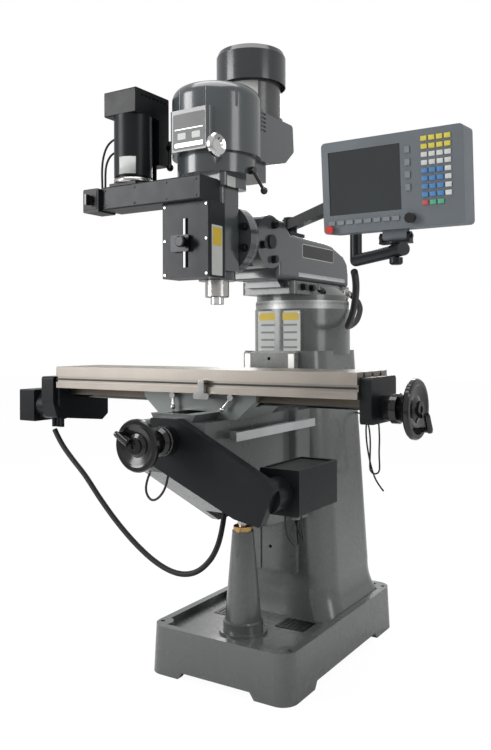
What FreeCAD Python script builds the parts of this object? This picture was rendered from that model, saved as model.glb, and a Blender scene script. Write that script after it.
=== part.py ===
import FreeCAD, Part
import math
import os

os.makedirs("parts", exist_ok=True)

# Knee-type vertical turret milling machine with a powered quill, two powered table axes
# and a control panel.
# Millimetres. The origin is on the floor, midway between the four anchor holes of the base.
# +X is the operator's right, +Y runs from the operator to the column, +Z is up.

V = FreeCAD.Vector
X = V(1, 0, 0)
Y = V(0, 1, 0)
Z = V(0, 0, 1)

# clearances
SLIDE_GAP = 0.3          # between flat ways
SHAFT_GAP = 0.05         # radial, between a shaft and its bore

# base casting
BASE_W = 609.0
BASE_D = 931.0
BASE_H = 176.0
BASE_DRAFT = 6.6
BASE_CORNER_R = 60.0
BASE_RIM = 36.0
TRAY_DEPTH = 26.0
ANCHOR_X = 276.0         # half spacing of the anchor holes
ANCHOR_Y = 408.0
ANCHOR_R = 9.0
FOOT_RELIEF_H = 25.0
FOOT_RELIEF_W = 330.0
FOOT_RELIEF_D = 560.0

# column
COLUMN_FRONT_Y = -30.0
COLUMN_BACK_Y = 430.0
COLUMN_HALF_W = 235.0
COLUMN_TOP_HALF_W = 186.0
COLUMN_TOP_BACK_Y = 390.0
COLUMN_BODY_TOP_Z = 1190.0
COLUMN_TOP_Z = 1366.0
COLUMN_CORNER_R = 90.0
COLUMN_FLARE = 62.0
COLUMN_WALL = 22.0
BASE_WALL = 30.0
BASE_DECK = 20.0
NECK_R = 202.0
WAY_W = 236.0
WAY_FRONT_Y = -80.0
WAY_BOTTOM_Z = 330.0
WAY_BOLT_Z = (1165.0, 420.0)

# turret
TURRET_Y = 200.0
TURRET_R = 198.0
RING_H = 34.0
TURRET_TOP_Z = 1470.0
TURRET_HALF_W = 112.0
TURRET_FRONT_Y = -92.0
TURRET_BACK_Y = 420.0
PINION_AT = (275.0, 1432.0)

# ram
RAM_HALF_W = 116.0
RAM_TOP_Z = 1650.0
RAM_BACK_Y = 424.0
RAM_DOVE_H = 26.0
RAM_DOVE_HALF_W = 84.0

# nodding joint between ram and head
NOD_Y = -258.0
NOD_Z = 1602.0
NOD_R = 98.0
NOD_TONGUE_HALF_W = 62.0
FLANGE_R = 128.0
FLANGE_T = 20.0
FLANGE_Y = -380.0        # meeting plane of the adapter and the head

# head
SPINDLE_Y = -440.0
HEAD_HALF_W = 84.0
HEAD_FRONT_Y = -532.0
HEAD_BOTTOM_Z = 1449.0
HEAD_TOP_Z = 1815.0
QUILL_R = 42.85
QUILL_BOTTOM_Z = 1391.0
QUILL_TOP_Z = 1660.0
SPINDLE_R = 23.8
SPINDLE_BOTTOM_Z = 1366.0
SPINDLE_BORE_R = 12.05
SPINDLE_BORE_L = 75.0

# quill drive cover and beam
COVER_W = 198.0
COVER_FRONT_Y = -628.0
COVER_BOTTOM_Z = 1449.0
COVER_TOP_Z = 1704.0
COVER_WALL = 4.0
COVER_SLOT_W = 24.0
COVER_SLOT_Z = (1484.0, 1650.0)
COVER_SLOT_X = 0.0
TAB_HALF_W = 8.0
BEAM_LEFT_X = -352.0
BEAM_RIGHT_X = 80.0
BEAM_FRONT_Y = -655.0
BEAM_BACK_Y = -543.0
BEAM_BOTTOM_Z = COVER_TOP_Z
BEAM_TOP_Z = 1786.0

# quill motor and its control box
QMOTOR_X = -259.0
QMOTOR_Y = -590.0
QMOTOR_R = 68.0
QMOTOR_TOP_Z = 2035.0
CBOX_FRONT_Y = -650.0
CBOX_BACK_Y = -461.0
CBOX_LEFT_X = -342.0
CBOX_RIGHT_X = -199.0
CBOX_TOP_Z = 2124.0
CBOX_SHELF_Z = 2036.0
CBOX_BOTTOM_Z = 1874.0
CBOX_LEG_FRONT_Y = -519.0

# belt housing and drive motor
DOME_R = 158.0
DOME_TOP_Z = 2128.0
HOUSING_BOTTOM_Z = 1883.0
MOTOR_Y = -206.0
MOTOR_R = 112.0
MOTOR_CAP_R = 132.0
MOTOR_TOP_Z = 2341.0
MOTOR_CAP_Z = 2226.0
MOTOR_BASE_Z = 2062.0
MOTOR_FOOT_R = 122.0
HOUSING_WALL = 9.0

# knee
KNEE_HALF_W = 130.0
KNEE_JAW_HALF_W = 162.0
KNEE_FRONT_Y = -700.0
KNEE_TOP_Z = 972.0
KNEE_FRONT_Z = 800.0
KNEE_BOTTOM_Z = 556.0
KNEE_SLOPE_END_Y = -290.0
KNEE_BACK_Y = -34.0
KNEE_WAY_HALF_W = 92.0
KNEE_WAY_H = 25.0
LIFT_Y = -275.0
LIFT_SCREW_R = 19.0
LIFT_NUT_TOP_Z = 545.0

# leadscrews
SCREW_R = 11.0
Y_SCREW_Z = 913.0
X_SCREW_Z = 1030.0
WHEEL_R = 92.0
Y_WHEEL_R = 83.0
Y_WHEEL_Y = -872.0
X_WHEEL_X = 757.0

# saddle and table
TABLE_L = 1245.0
TABLE_W = 229.0
TABLE_Y = -501.5
TABLE_TOP_Z = 1141.0
TABLE_H = 80.5
TABLE_DOVE_H = 28.0
TABLE_DOVE_HALF_W = 44.0
SLOT_PITCH = 63.5
SLOT_W = 16.0
SLOT_NECK = 17.0
SLOT_HEAD_W = 29.0
SLOT_HEAD_H = 13.0
SADDLE_HALF_L = 235.0
SADDLE_FOOT_HALF_L = 160.0
SADDLE_FRONT_Y = -560.0
SADDLE_BACK_Y = -345.0
LOCK_Z = 1048.0

# speed wheel on the right front of the belt housing
SPEED_TURN = math.radians(80)
SPEED_AXIS = V(math.sin(SPEED_TURN), -math.cos(SPEED_TURN), 0)
SPEED_AT = (84.0, -596.0, 1888.0)
SPEED_BOSS_R = 10.0
SPEED_BOSS_OUT = 4.0

# levers of the head
BRAKE_AT = (-500.0, 1935.0)
RANGE_AT = (-440.0, 1828.0)
LEVER_HUB_R = 7.0

# panel arm
ARM_PIVOT = (60.0, -16.0)
PIN_X = 755.0
PIN_Y = -640.0
ARM_TUBE = 38.0
ARM_HUB_Z = 1674.0
ARM_HUB_H = 44.0
ARM_UPPER_Z = 1696.0
ARM_LOWER_Z = 1491.0
ARM_BEND = 0.7           # share of the reach at which the arm drops to its lower tube
TILT_Z = 1530.0
PANEL_W = 420.0
PANEL_H = 264.0
PANEL_T = 85.0
PANEL_Z = 1679.0
PANEL_Y = -684.0         # front face centre
PANEL_LEAN = 4.6         # degrees, face turned slightly down


def box(x0, x1, y0, y1, z0, z1):
    return Part.makeBox(x1 - x0, y1 - y0, z1 - z0, V(x0, y0, z0))


def rod(radius, start, end):
    a = V(*start)
    b = V(*end)
    return Part.makeCylinder(radius, (b - a).Length, a, b - a)


def cone(r0, r1, start, end):
    a = V(*start)
    b = V(*end)
    return Part.makeCone(r0, r1, (b - a).Length, a, b - a)


def ring(r_out, r_in, start, end):
    return rod(r_out, start, end).cut(rod(r_in, start, end))


def prism(points, direction, length):
    """Extrude a closed outline given as 3-D points."""
    wire = Part.makePolygon([V(*p) for p in points] + [V(*points[0])])
    return Part.Face(wire).extrude(direction * length)


def outline_yz(points, x0, x1):
    return prism([(x0, y, z) for y, z in points], X, x1 - x0)


def outline_xz(points, y0, y1):
    return prism([(x, y0, z) for x, z in points], Y, y1 - y0)


def outline_xy(points, z0, z1):
    return prism([(x, y, z0) for x, y in points], Z, z1 - z0)


def lathe(profile, origin, axis):
    """Turn a closed (radius, distance along axis) outline about an axis."""
    side = axis.cross(X) if abs(axis.dot(X)) < 0.9 else axis.cross(Y)
    side.normalize()
    base = V(*origin)
    points = [base + side * r + axis * h for r, h in profile]
    wire = Part.makePolygon(points + [points[0]])
    return Part.Face(wire).revolve(base, axis, 360)


def along(shape, direction):
    """Straight edges that run along a direction."""
    return [e for e in shape.Edges
            if e.Curve.TypeId == "Part::GeomLine"
            and abs(e.tangentAt(e.FirstParameter).dot(direction)) > 0.999]


def rounded(shape, radius, direction):
    return shape.makeFillet(radius, along(shape, direction))


def soft_box(x0, x1, y0, y1, z0, z1, radius, direction=Z):
    return rounded(box(x0, x1, y0, y1, z0, z1), radius, direction)


def rounded_wire(half_w, y0, y1, radius, z):
    """Closed rounded rectangle in a level plane."""
    face = soft_box(-half_w, half_w, y0, y1, z, z + 1, radius).Faces
    flat = [f for f in face if abs(f.CenterOfMass.z - z) < 1e-6]
    return flat[0].OuterWire


def join(*shapes):
    solid = shapes[0]
    if len(shapes) > 1:
        solid = solid.fuse(list(shapes[1:]))
    return solid.removeSplitter()


def hex_head(across, height, start, direction):
    """Hexagonal bolt head on a face."""
    r = across / math.sqrt(3)
    base = V(*start)
    side = direction.cross(X) if abs(direction.dot(X)) < 0.9 else direction.cross(Y)
    other = direction.cross(side)
    turns = [math.radians(60 * i) for i in range(6)]
    points = [base + side * (r * math.cos(t)) + other * (r * math.sin(t)) for t in turns]
    return Part.Face(Part.makePolygon(points + [points[0]])).extrude(direction * height)


def way(along_x, z0, z1, half0, half1, centre, lo, hi, grow=0.0):
    """Dovetail bar half0 wide at z0 and half1 at z1, or its groove when grow is a clearance."""
    slope = (half1 - half0) / (z1 - z0)
    low = half0 - slope * grow + 1.3 * grow
    high = half1 + slope * grow + 1.3 * grow
    points = [(centre - low, z0 - grow), (centre + low, z0 - grow), (centre + high, z1 + grow),
              (centre - high, z1 + grow)]
    return outline_yz(points, lo, hi) if along_x else outline_xz(points, lo, hi)


def cord(name, points, diameter):
    """Cable tube of straight runs joined by tangent arcs."""
    p = [V(*q) for q in points]
    edges = []
    at = p[0]
    radii = []
    for before, corner, after in zip(p, p[1:], p[2:]):
        back = before - corner
        ahead = after - corner
        shorter = min(back.Length, ahead.Length)
        back.normalize()
        ahead.normalize()
        reach = 0.45 * shorter
        turn = math.pi - back.getAngle(ahead)
        radii.append(reach / math.tan(turn / 2))
        start = corner + back * reach
        end = corner + ahead * reach
        middle_way = back + ahead
        middle_way.normalize()
        radius = radii[-1]
        middle = corner + middle_way * (radius / math.cos(turn / 2) - radius)
        edges.append(Part.LineSegment(at, start).toShape())
        edges.append(Part.Arc(start, middle, end).toShape())
        at = end
    edges.append(Part.LineSegment(at, p[-1]).toShape())
    path = Part.Wire(edges)
    section = Part.Wire([Part.Circle(p[0], p[1] - p[0], diameter / 2).toShape()])
    tube = path.makePipeShell([section], True, False)
    ideal = math.pi * diameter ** 2 / 4 * path.Length
    print("cord", name, "length", round(path.Length), "volume ratio", round(tube.Volume / ideal, 4),
          "radii in diameters", [round(r / diameter, 1) for r in radii])
    return tube


def save(name, shape):
    shape.exportStep("parts/%s.step" % name)
    print(name, "solids", len(shape.Solids), "valid", shape.isValid())


# ---------------------------------------------------------------- base and column

def base_block():
    half_w = BASE_W / 2
    half_d = BASE_D / 2
    low = rounded_wire(half_w, -half_d, half_d, BASE_CORNER_R, 0)
    top = rounded_wire(half_w - BASE_DRAFT, -half_d + BASE_DRAFT, half_d - BASE_DRAFT, BASE_CORNER_R,
                       BASE_H)
    return Part.makeLoft([low, top], True, True)


def tray_pocket():
    """Shallow coolant tray with the anchor bosses left standing in its corners."""
    half_w = BASE_W / 2 - BASE_RIM
    half_d = BASE_D / 2 - BASE_RIM
    floor_z = BASE_H - TRAY_DEPTH
    pocket = soft_box(-half_w, half_w, -half_d, half_d, floor_z, BASE_H + 1, 20)
    for sx in (-1, 1):
        for sy in (-1, 1):
            pocket = pocket.cut(rod(40, (sx * ANCHOR_X, sy * ANCHOR_Y, floor_z),
                                    (sx * ANCHOR_X, sy * ANCHOR_Y, BASE_H + 1)))
    return pocket


def foot_reliefs():
    half_w = FOOT_RELIEF_W / 2
    half_d = FOOT_RELIEF_D / 2
    across = outline_yz([(-half_d, -1), (half_d, -1), (half_d - 20, FOOT_RELIEF_H),
                         (-half_d + 20, FOOT_RELIEF_H)],
                        -BASE_W, BASE_W)
    lengthways = outline_xz([(-half_w, -1), (half_w, -1), (half_w - 20, FOOT_RELIEF_H),
                             (-half_w + 20, FOOT_RELIEF_H)],
                            -BASE_D, BASE_D)
    return across.fuse(lengthways)


def column_body():
    """Tapered hollow-cast column with a wide flare where it meets the base."""
    foot_z = BASE_H - TRAY_DEPTH - 10
    sections = []
    flare_h = 165.0
    for i in range(5):
        t = i / 4
        spread = COLUMN_FLARE * (1 - math.sin(t * math.pi / 2)) ** 1.3
        z = foot_z + flare_h * t
        sections.append(rounded_wire(COLUMN_HALF_W + spread * 0.75, COLUMN_FRONT_Y - spread * 0.4,
                                     COLUMN_BACK_Y - 15 + spread * 0.5, COLUMN_CORNER_R, z))
    flare = Part.makeLoft(sections, True, False)
    low = rounded_wire(COLUMN_HALF_W, COLUMN_FRONT_Y, COLUMN_BACK_Y - 15, COLUMN_CORNER_R, foot_z + flare_h)
    high = rounded_wire(COLUMN_TOP_HALF_W, COLUMN_FRONT_Y, COLUMN_TOP_BACK_Y, COLUMN_CORNER_R,
                        COLUMN_BODY_TOP_Z)
    body = Part.makeLoft([low, high], True, True)
    return flare, body


def column_neck():
    """Round seat for the turret, on a short shoulder."""
    shoulder_h = 6.0
    seat = rod(NECK_R, (0, TURRET_Y, COLUMN_BODY_TOP_Z - 10), (0, TURRET_Y, COLUMN_TOP_Z))
    shoulder = rounded(box(-COLUMN_TOP_HALF_W, COLUMN_TOP_HALF_W, COLUMN_FRONT_Y, COLUMN_TOP_BACK_Y,
                           COLUMN_BODY_TOP_Z - 12, COLUMN_BODY_TOP_Z + shoulder_h), COLUMN_CORNER_R, Z)
    front_pad = box(-100, 100, 0, TURRET_Y, COLUMN_BODY_TOP_Z, COLUMN_TOP_Z - 8)
    return seat, shoulder, front_pad


def way_outline(grow=0.0):
    half = WAY_W / 2 + grow
    front = WAY_FRONT_Y - grow
    back = COLUMN_FRONT_Y + 5
    return [(-half + 14, back), (half - 14, back), (half, WAY_FRONT_Y + 24), (half, front), (-half, front),
            (-half, WAY_FRONT_Y + 24)]


def column_ways():
    """Dovetailed front ways that carry the knee."""
    ways = outline_xy(way_outline(), WAY_BOTTOM_Z, COLUMN_BODY_TOP_Z)
    groove = box(-42, 42, WAY_FRONT_Y - 1, WAY_FRONT_Y + 6, WAY_BOTTOM_Z - 1, COLUMN_BODY_TOP_Z - 60)
    ways = ways.cut(groove)
    for z in WAY_BOLT_Z:
        ways = ways.cut(rod(7, (0, WAY_FRONT_Y - 1, z), (0, WAY_FRONT_Y + 30, z)))
    return ways


def column_hollow():
    """Open core of the column and of the base, reached from below."""
    wall = COLUMN_WALL
    low = rounded_wire(COLUMN_HALF_W - wall, COLUMN_FRONT_Y + wall, COLUMN_BACK_Y - 15 - wall,
                       COLUMN_CORNER_R - wall, 60)
    high = rounded_wire(COLUMN_TOP_HALF_W - wall, COLUMN_FRONT_Y + wall, COLUMN_TOP_BACK_Y - wall,
                        COLUMN_CORNER_R - wall, COLUMN_BODY_TOP_Z - wall)
    core = Part.makeLoft([low, high], True, True)
    half_w = BASE_W / 2 - BASE_WALL
    half_d = BASE_D / 2 - BASE_WALL
    deck = BASE_H - TRAY_DEPTH - BASE_DECK
    under = soft_box(-half_w, half_w, -half_d, half_d, -1, deck, 30)
    for sx in (-1, 1):
        for sy in (-1, 1):
            under = under.cut(rod(ANCHOR_R + 26, (sx * ANCHOR_X, sy * ANCHOR_Y, -2),
                                  (sx * ANCHOR_X, sy * ANCHOR_Y, deck + 1)))
    return core, under


def column_base():
    base = base_block().cut(foot_reliefs()).cut(tray_pocket())
    flare, body = column_body()
    seat, shoulder, front_pad = column_neck()
    casting = join(base, flare, body, seat, shoulder, front_pad, column_ways())
    for hollow in column_hollow():
        casting = casting.cut(hollow)
    for sx in (-1, 1):
        for sy in (-1, 1):
            casting = casting.cut(rod(ANCHOR_R, (sx * ANCHOR_X, sy * ANCHOR_Y, -1),
                                      (sx * ANCHOR_X, sy * ANCHOR_Y, BASE_H + 1)))
    return casting.cut(rod(28, (0, LIFT_Y, -1), (0, LIFT_Y, BASE_H)))


def pedestal():
    """Cone-shaped post that holds the elevating nut."""
    z = BASE_H - TRAY_DEPTH
    profile = [(LIFT_SCREW_R + 6, z), (91, z), (91, z + 9), (75, z + 9), (75, 192), (68.5, 197),
               (40.5, 526),
               (LIFT_SCREW_R + 6, 526)]
    return lathe(profile, (0, LIFT_Y, 0), Z)


def elevating_nut():
    bore = LIFT_SCREW_R + SHAFT_GAP
    profile = [(bore, 500), (LIFT_SCREW_R + 6, 500), (LIFT_SCREW_R + 6, 526), (36, 526),
               (36, LIFT_NUT_TOP_Z - 2),
               (34, LIFT_NUT_TOP_Z), (bore, LIFT_NUT_TOP_Z)]
    return lathe(profile, (0, LIFT_Y, 0), Z)


def drain_screens():
    z = BASE_H - TRAY_DEPTH
    plates = []
    for side in (-1, 1):
        plate = box(side * 140 - 61, side * 140 + 61, -176, -74, z, z + 2)
        for i in range(6):
            x = side * 140 - 47 + i * 18
            plate = plate.cut(box(x, x + 5, -166, -84, z - 1, z + 3))
        plates.append(plate)
    return Part.makeCompound(plates)


# ---------------------------------------------------------------- turret and ram

def ram_way(y0, y1, grow=0.0):
    return way(False, TURRET_TOP_Z - RAM_DOVE_H, TURRET_TOP_Z, RAM_DOVE_HALF_W, RAM_DOVE_HALF_W - 15, 0,
               y0, y1, grow)


def turret_ring():
    return ring(TURRET_R, 60, (0, TURRET_Y, COLUMN_TOP_Z), (0, TURRET_Y, COLUMN_TOP_Z + RING_H))


def turret_bolt_places():
    turns = [math.radians(turn) for turn in (43, 137, 215, 325)]
    return [(172 * math.cos(turn), TURRET_Y + 172 * math.sin(turn)) for turn in turns]


def turret():
    z0 = COLUMN_TOP_Z + RING_H
    foot = rod(TURRET_R - 4, (0, TURRET_Y, z0), (0, TURRET_Y, z0 + 22))
    top = soft_box(-TURRET_HALF_W - 12, TURRET_HALF_W + 12, TURRET_FRONT_Y, TURRET_BACK_Y, z0 + 20,
                   TURRET_TOP_Z, 24)
    casting = join(foot, cone(TURRET_R - 4, 150, (0, TURRET_Y, z0 + 22),
                              (0, TURRET_Y, TURRET_TOP_Z - 10)), top)
    groove = ram_way(TURRET_FRONT_Y - 1, TURRET_BACK_Y + 1, SLIDE_GAP)
    casting = casting.cut(groove)
    casting = casting.cut(rod(11 + SHAFT_GAP, (60, *PINION_AT), (150, *PINION_AT)))
    casting = casting.cut(rod(28, (149, *PINION_AT), (240, *PINION_AT)))
    for x, y in turret_bolt_places():
        casting = casting.cut(rod(20, (x, y, z0 + 22), (x, y, TURRET_TOP_Z + 1)))
    return casting


def turret_bolts():
    """Four turret clamp bolts and two ram clamp bolts."""
    z = COLUMN_TOP_Z + RING_H + 22
    bolts = []
    for x, y in turret_bolt_places():
        bolts.append(join(hex_head(24, 16, (x, y, z + 4), Z), rod(17, (x, y, z), (x, y, z + 4))))
    side = TURRET_HALF_W + 12
    for y in (-30, 40):
        bolts.append(join(rod(14, (side, y, 1448), (side + 5, y, 1448)),
                          hex_head(22, 14, (side + 5, y, 1448), X)))
    return Part.makeCompound(bolts)


def ram_pinion():
    """Pinion shaft with its round knob on the right of the turret."""
    shaft = rod(11, (70, *PINION_AT), (150, *PINION_AT))
    knob = lathe([(0, 0), (22, 0), (25, 4), (25, 22), (21, 27), (0, 27)], (150, *PINION_AT), X)
    return join(shaft, knob, hex_head(19, 12, (177, *PINION_AT), X))


def ram():
    """Ram body: a forked nose that holds the nodding adapter, a dovetail below and a rounded tail."""
    low = TURRET_TOP_Z + SLIDE_GAP
    side = [(NOD_Y + 60, low), (RAM_BACK_Y, low), (RAM_BACK_Y, RAM_TOP_Z - 118),
            (RAM_BACK_Y - 12, RAM_TOP_Z - 72),
            (RAM_BACK_Y - 50, RAM_TOP_Z - 42), (260, RAM_TOP_Z - 8), (200, RAM_TOP_Z - 4), (-100,
                    RAM_TOP_Z), (-150, NOD_Z + NOD_R - 4),
            (NOD_Y + 60, NOD_Z + NOD_R - 4)]
    body = rounded(outline_yz(side, -RAM_HALF_W, RAM_HALF_W), 6, X)
    body = body.makeFillet(20, [e for e in along(body, Y) if e.CenterOfMass.z > RAM_TOP_Z - 10])
    neck = box(-RAM_DOVE_HALF_W + 15, RAM_DOVE_HALF_W - 15, -130, RAM_BACK_Y - 8, TURRET_TOP_Z - 1,
               low + 10)
    body = join(body, ram_way(-130, RAM_BACK_Y - 8), neck)
    cheek_t = RAM_HALF_W - NOD_TONGUE_HALF_W - SLIDE_GAP
    for side in (-1, 1):
        x0 = side * (NOD_TONGUE_HALF_W + SLIDE_GAP)
        x1 = x0 + side * cheek_t
        disc = rod(NOD_R, (x0, NOD_Y, NOD_Z), (x1, NOD_Y, NOD_Z))
        body = body.fuse(disc)
    socket = rod(NOD_R + 2, (-NOD_TONGUE_HALF_W - SLIDE_GAP, NOD_Y, NOD_Z),
                 (NOD_TONGUE_HALF_W + SLIDE_GAP, NOD_Y, NOD_Z))
    body = body.cut(socket)
    body = body.cut(rod(16 + SHAFT_GAP, (-200, NOD_Y, NOD_Z), (200, NOD_Y, NOD_Z)))
    core = box(-50, 50, -80, RAM_BACK_Y - 34, TURRET_TOP_Z - RAM_DOVE_H - 1, RAM_TOP_Z - 70)
    return body.cut(core).removeSplitter()


def nod_bolts():
    """Clamp bolts round the fork, and the caps of the nodding pin."""
    pieces = []
    for side in (-1, 1):
        x = side * RAM_HALF_W
        for turn in (75, 195, 285):
            y = NOD_Y + 66 * math.cos(math.radians(turn))
            z = NOD_Z + 66 * math.sin(math.radians(turn))
            washer = rod(15, (x, y, z), (x + side * 4, y, z))
            pieces.append(join(washer, hex_head(24, 14, (x + side * 4, y, z), X * side)))
        pieces.append(rod(26, (x, NOD_Y, NOD_Z), (x + side * 10, NOD_Y, NOD_Z)))
    return Part.makeCompound(pieces)


def arm_clamp():
    """Bracket bolted to the top of the ram, with the post that the panel arm turns on."""
    px, py = ARM_PIVOT
    foot = box(-60, 96, py - 60, py + 60, RAM_TOP_Z, RAM_TOP_Z + 14)
    boss = rod(30, (px, py, RAM_TOP_Z + 14), (px, py, ARM_HUB_Z - SLIDE_GAP))
    post = rod(16, (px, py, ARM_HUB_Z - 1), (px, py, ARM_HUB_Z + ARM_HUB_H + SLIDE_GAP))
    cap = rod(24, (px, py, ARM_HUB_Z + ARM_HUB_H + SLIDE_GAP), (px, py, ARM_HUB_Z + ARM_HUB_H + 9))
    return join(foot, boss, post, cap)


def ram_adapter():
    """Nodding knuckle: a round tongue in the ram's fork and a round flange for the head."""
    w = NOD_TONGUE_HALF_W
    tongue = rod(NOD_R, (-w, NOD_Y, NOD_Z), (w, NOD_Y, NOD_Z))
    neck = box(-w, w, FLANGE_Y + FLANGE_T - 2, NOD_Y - 40, NOD_Z - 92, NOD_Z + 92)
    flange = rod(FLANGE_R, (0, FLANGE_Y + FLANGE_T, NOD_Z), (0, FLANGE_Y, NOD_Z))
    pin = rod(16, (-RAM_HALF_W + 1, NOD_Y, NOD_Z), (RAM_HALF_W - 1, NOD_Y, NOD_Z))
    body = join(tongue, neck, flange, pin)
    return body.cut(rod(20 + SHAFT_GAP, (0, FLANGE_Y - 1, NOD_Z), (0, FLANGE_Y + 36, NOD_Z)))


# ---------------------------------------------------------------- head

def head_casting():
    """Quill housing with its round back flange."""
    body = soft_box(-HEAD_HALF_W, HEAD_HALF_W, HEAD_FRONT_Y, FLANGE_Y - 30, HEAD_BOTTOM_Z + 30,
                    HEAD_TOP_Z, 22)
    barrel = rod(66, (0, SPINDLE_Y, HEAD_BOTTOM_Z), (0, SPINDLE_Y, HEAD_TOP_Z))
    flange = rod(FLANGE_R, (0, FLANGE_Y - 34, NOD_Z), (0, FLANGE_Y, NOD_Z))
    trunnion = rod(20, (0, FLANGE_Y - 1, NOD_Z), (0, FLANGE_Y + 30, NOD_Z))
    top = soft_box(-100, 100, HEAD_FRONT_Y - 8, FLANGE_Y - 6, HEAD_TOP_Z - 46, HEAD_TOP_Z, 20)
    behind = box(-FLANGE_R, FLANGE_R, FLANGE_Y, FLANGE_Y + 60, HEAD_BOTTOM_Z - 1, HEAD_TOP_Z + 1)
    casting = join(join(body, barrel, flange, top).cut(behind), trunnion)
    tab_slot = box(-TAB_HALF_W - 2, TAB_HALF_W + 2, HEAD_FRONT_Y - 1, SPINDLE_Y, COVER_SLOT_Z[0],
                   COVER_SLOT_Z[1])
    casting = casting.cut(tab_slot)
    return casting.cut(rod(QUILL_R + SHAFT_GAP, (0, SPINDLE_Y, HEAD_BOTTOM_Z - 1),
                           (0, SPINDLE_Y, HEAD_TOP_Z + 1)))


def tilt_bolts():
    """Four head clamp nuts on the flange."""
    bolts = []
    for turn in (20, 160, 200, 340):
        x = 108 * math.cos(math.radians(turn))
        z = NOD_Z + 108 * math.sin(math.radians(turn))
        y = FLANGE_Y - 34
        bolts.append(join(rod(14, (x, y, z), (x, y - 4, z)), hex_head(22, 16, (x, y - 4, z), Y * -1)))
    return Part.makeCompound(bolts)


def quill_drive_cover():
    """Sheet cover over the quill ball screw, with the slot that the quill tab moves in."""
    half = COVER_W / 2
    back = HEAD_FRONT_Y
    outer = soft_box(-half, half, COVER_FRONT_Y, back, COVER_BOTTOM_Z, COVER_TOP_Z, 5, Z)
    inner = box(-half + COVER_WALL, half - COVER_WALL, COVER_FRONT_Y + COVER_WALL, back + 1,
                COVER_BOTTOM_Z + COVER_WALL, COVER_TOP_Z - COVER_WALL)
    slot = box(COVER_SLOT_X - COVER_SLOT_W / 2, COVER_SLOT_X + COVER_SLOT_W / 2, COVER_FRONT_Y - 1,
               COVER_FRONT_Y + COVER_WALL + 1, COVER_SLOT_Z[0], COVER_SLOT_Z[1])
    return outer.cut(inner).cut(slot)


def drive_beam():
    """Belt case of the quill drive, with the angle that carries the control box."""
    case = soft_box(BEAM_LEFT_X, BEAM_RIGHT_X, BEAM_FRONT_Y, BEAM_BACK_Y, BEAM_BOTTOM_Z, BEAM_TOP_Z, 6, X)
    return Part.makeCompound([case, box_bracket()])


def quill_motor():
    top = rod(QMOTOR_R, (QMOTOR_X, QMOTOR_Y, BEAM_TOP_Z + 34), (QMOTOR_X, QMOTOR_Y, QMOTOR_TOP_Z))
    foot = box(QMOTOR_X - 60, QMOTOR_X + 60, QMOTOR_Y - 60, BEAM_BACK_Y - 31, BEAM_TOP_Z, BEAM_TOP_Z + 10)
    flange = rod(62, (QMOTOR_X, QMOTOR_Y, BEAM_TOP_Z + 10), (QMOTOR_X, QMOTOR_Y, BEAM_TOP_Z + 34))
    return join(top, foot, flange)


def motor_control_box():
    """Drive electronics: a shelf over the motor and a leg down behind it."""
    side = [(CBOX_FRONT_Y, CBOX_SHELF_Z), (CBOX_FRONT_Y, CBOX_TOP_Z), (CBOX_BACK_Y, CBOX_TOP_Z),
            (CBOX_BACK_Y, CBOX_BOTTOM_Z),
            (CBOX_LEG_FRONT_Y, CBOX_BOTTOM_Z), (CBOX_LEG_FRONT_Y, CBOX_SHELF_Z)]
    body = rounded(outline_yz(side, CBOX_LEFT_X, CBOX_RIGHT_X), 5, X)
    for i in range(7):
        y = CBOX_FRONT_Y + 30 + 21 * i
        body = body.cut(box(CBOX_RIGHT_X - 3, CBOX_RIGHT_X + 1, y, y + 13, CBOX_TOP_Z - 24,
                            CBOX_TOP_Z - 16))
    return body


def box_bracket():
    """Angle that carries the control box on the drive beam."""
    post = box(CBOX_LEFT_X + 30, CBOX_RIGHT_X - 30, CBOX_BACK_Y - 40, CBOX_BACK_Y - 34, BEAM_TOP_Z + 6,
               CBOX_BOTTOM_Z)
    shelf = box(CBOX_LEFT_X + 30, CBOX_RIGHT_X - 30, BEAM_BACK_Y - 30, CBOX_BACK_Y - 34, BEAM_TOP_Z,
                BEAM_TOP_Z + 6)
    return join(post, shelf)


def selector_box():
    body = soft_box(-425, BEAM_LEFT_X, -672, -580, 1698, 1782, 6, Y)
    plate = box(-419, -358, -674, -672, 1708, 1774)
    return join(body, plate).cut(rod(5 + SHAFT_GAP, (-388, -680, 1741), (-388, -650, 1741)))


def selector_knob():
    """Rotary switch handle."""
    shaft = rod(5, (-388, -684, 1741), (-388, -652, 1741))
    dial = rod(17, (-388, -682, 1741), (-388, -676, 1741))
    grip = soft_box(-392, -384, -700, -682, 1722, 1760, 3, Y)
    return join(shaft, dial, grip)


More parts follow.
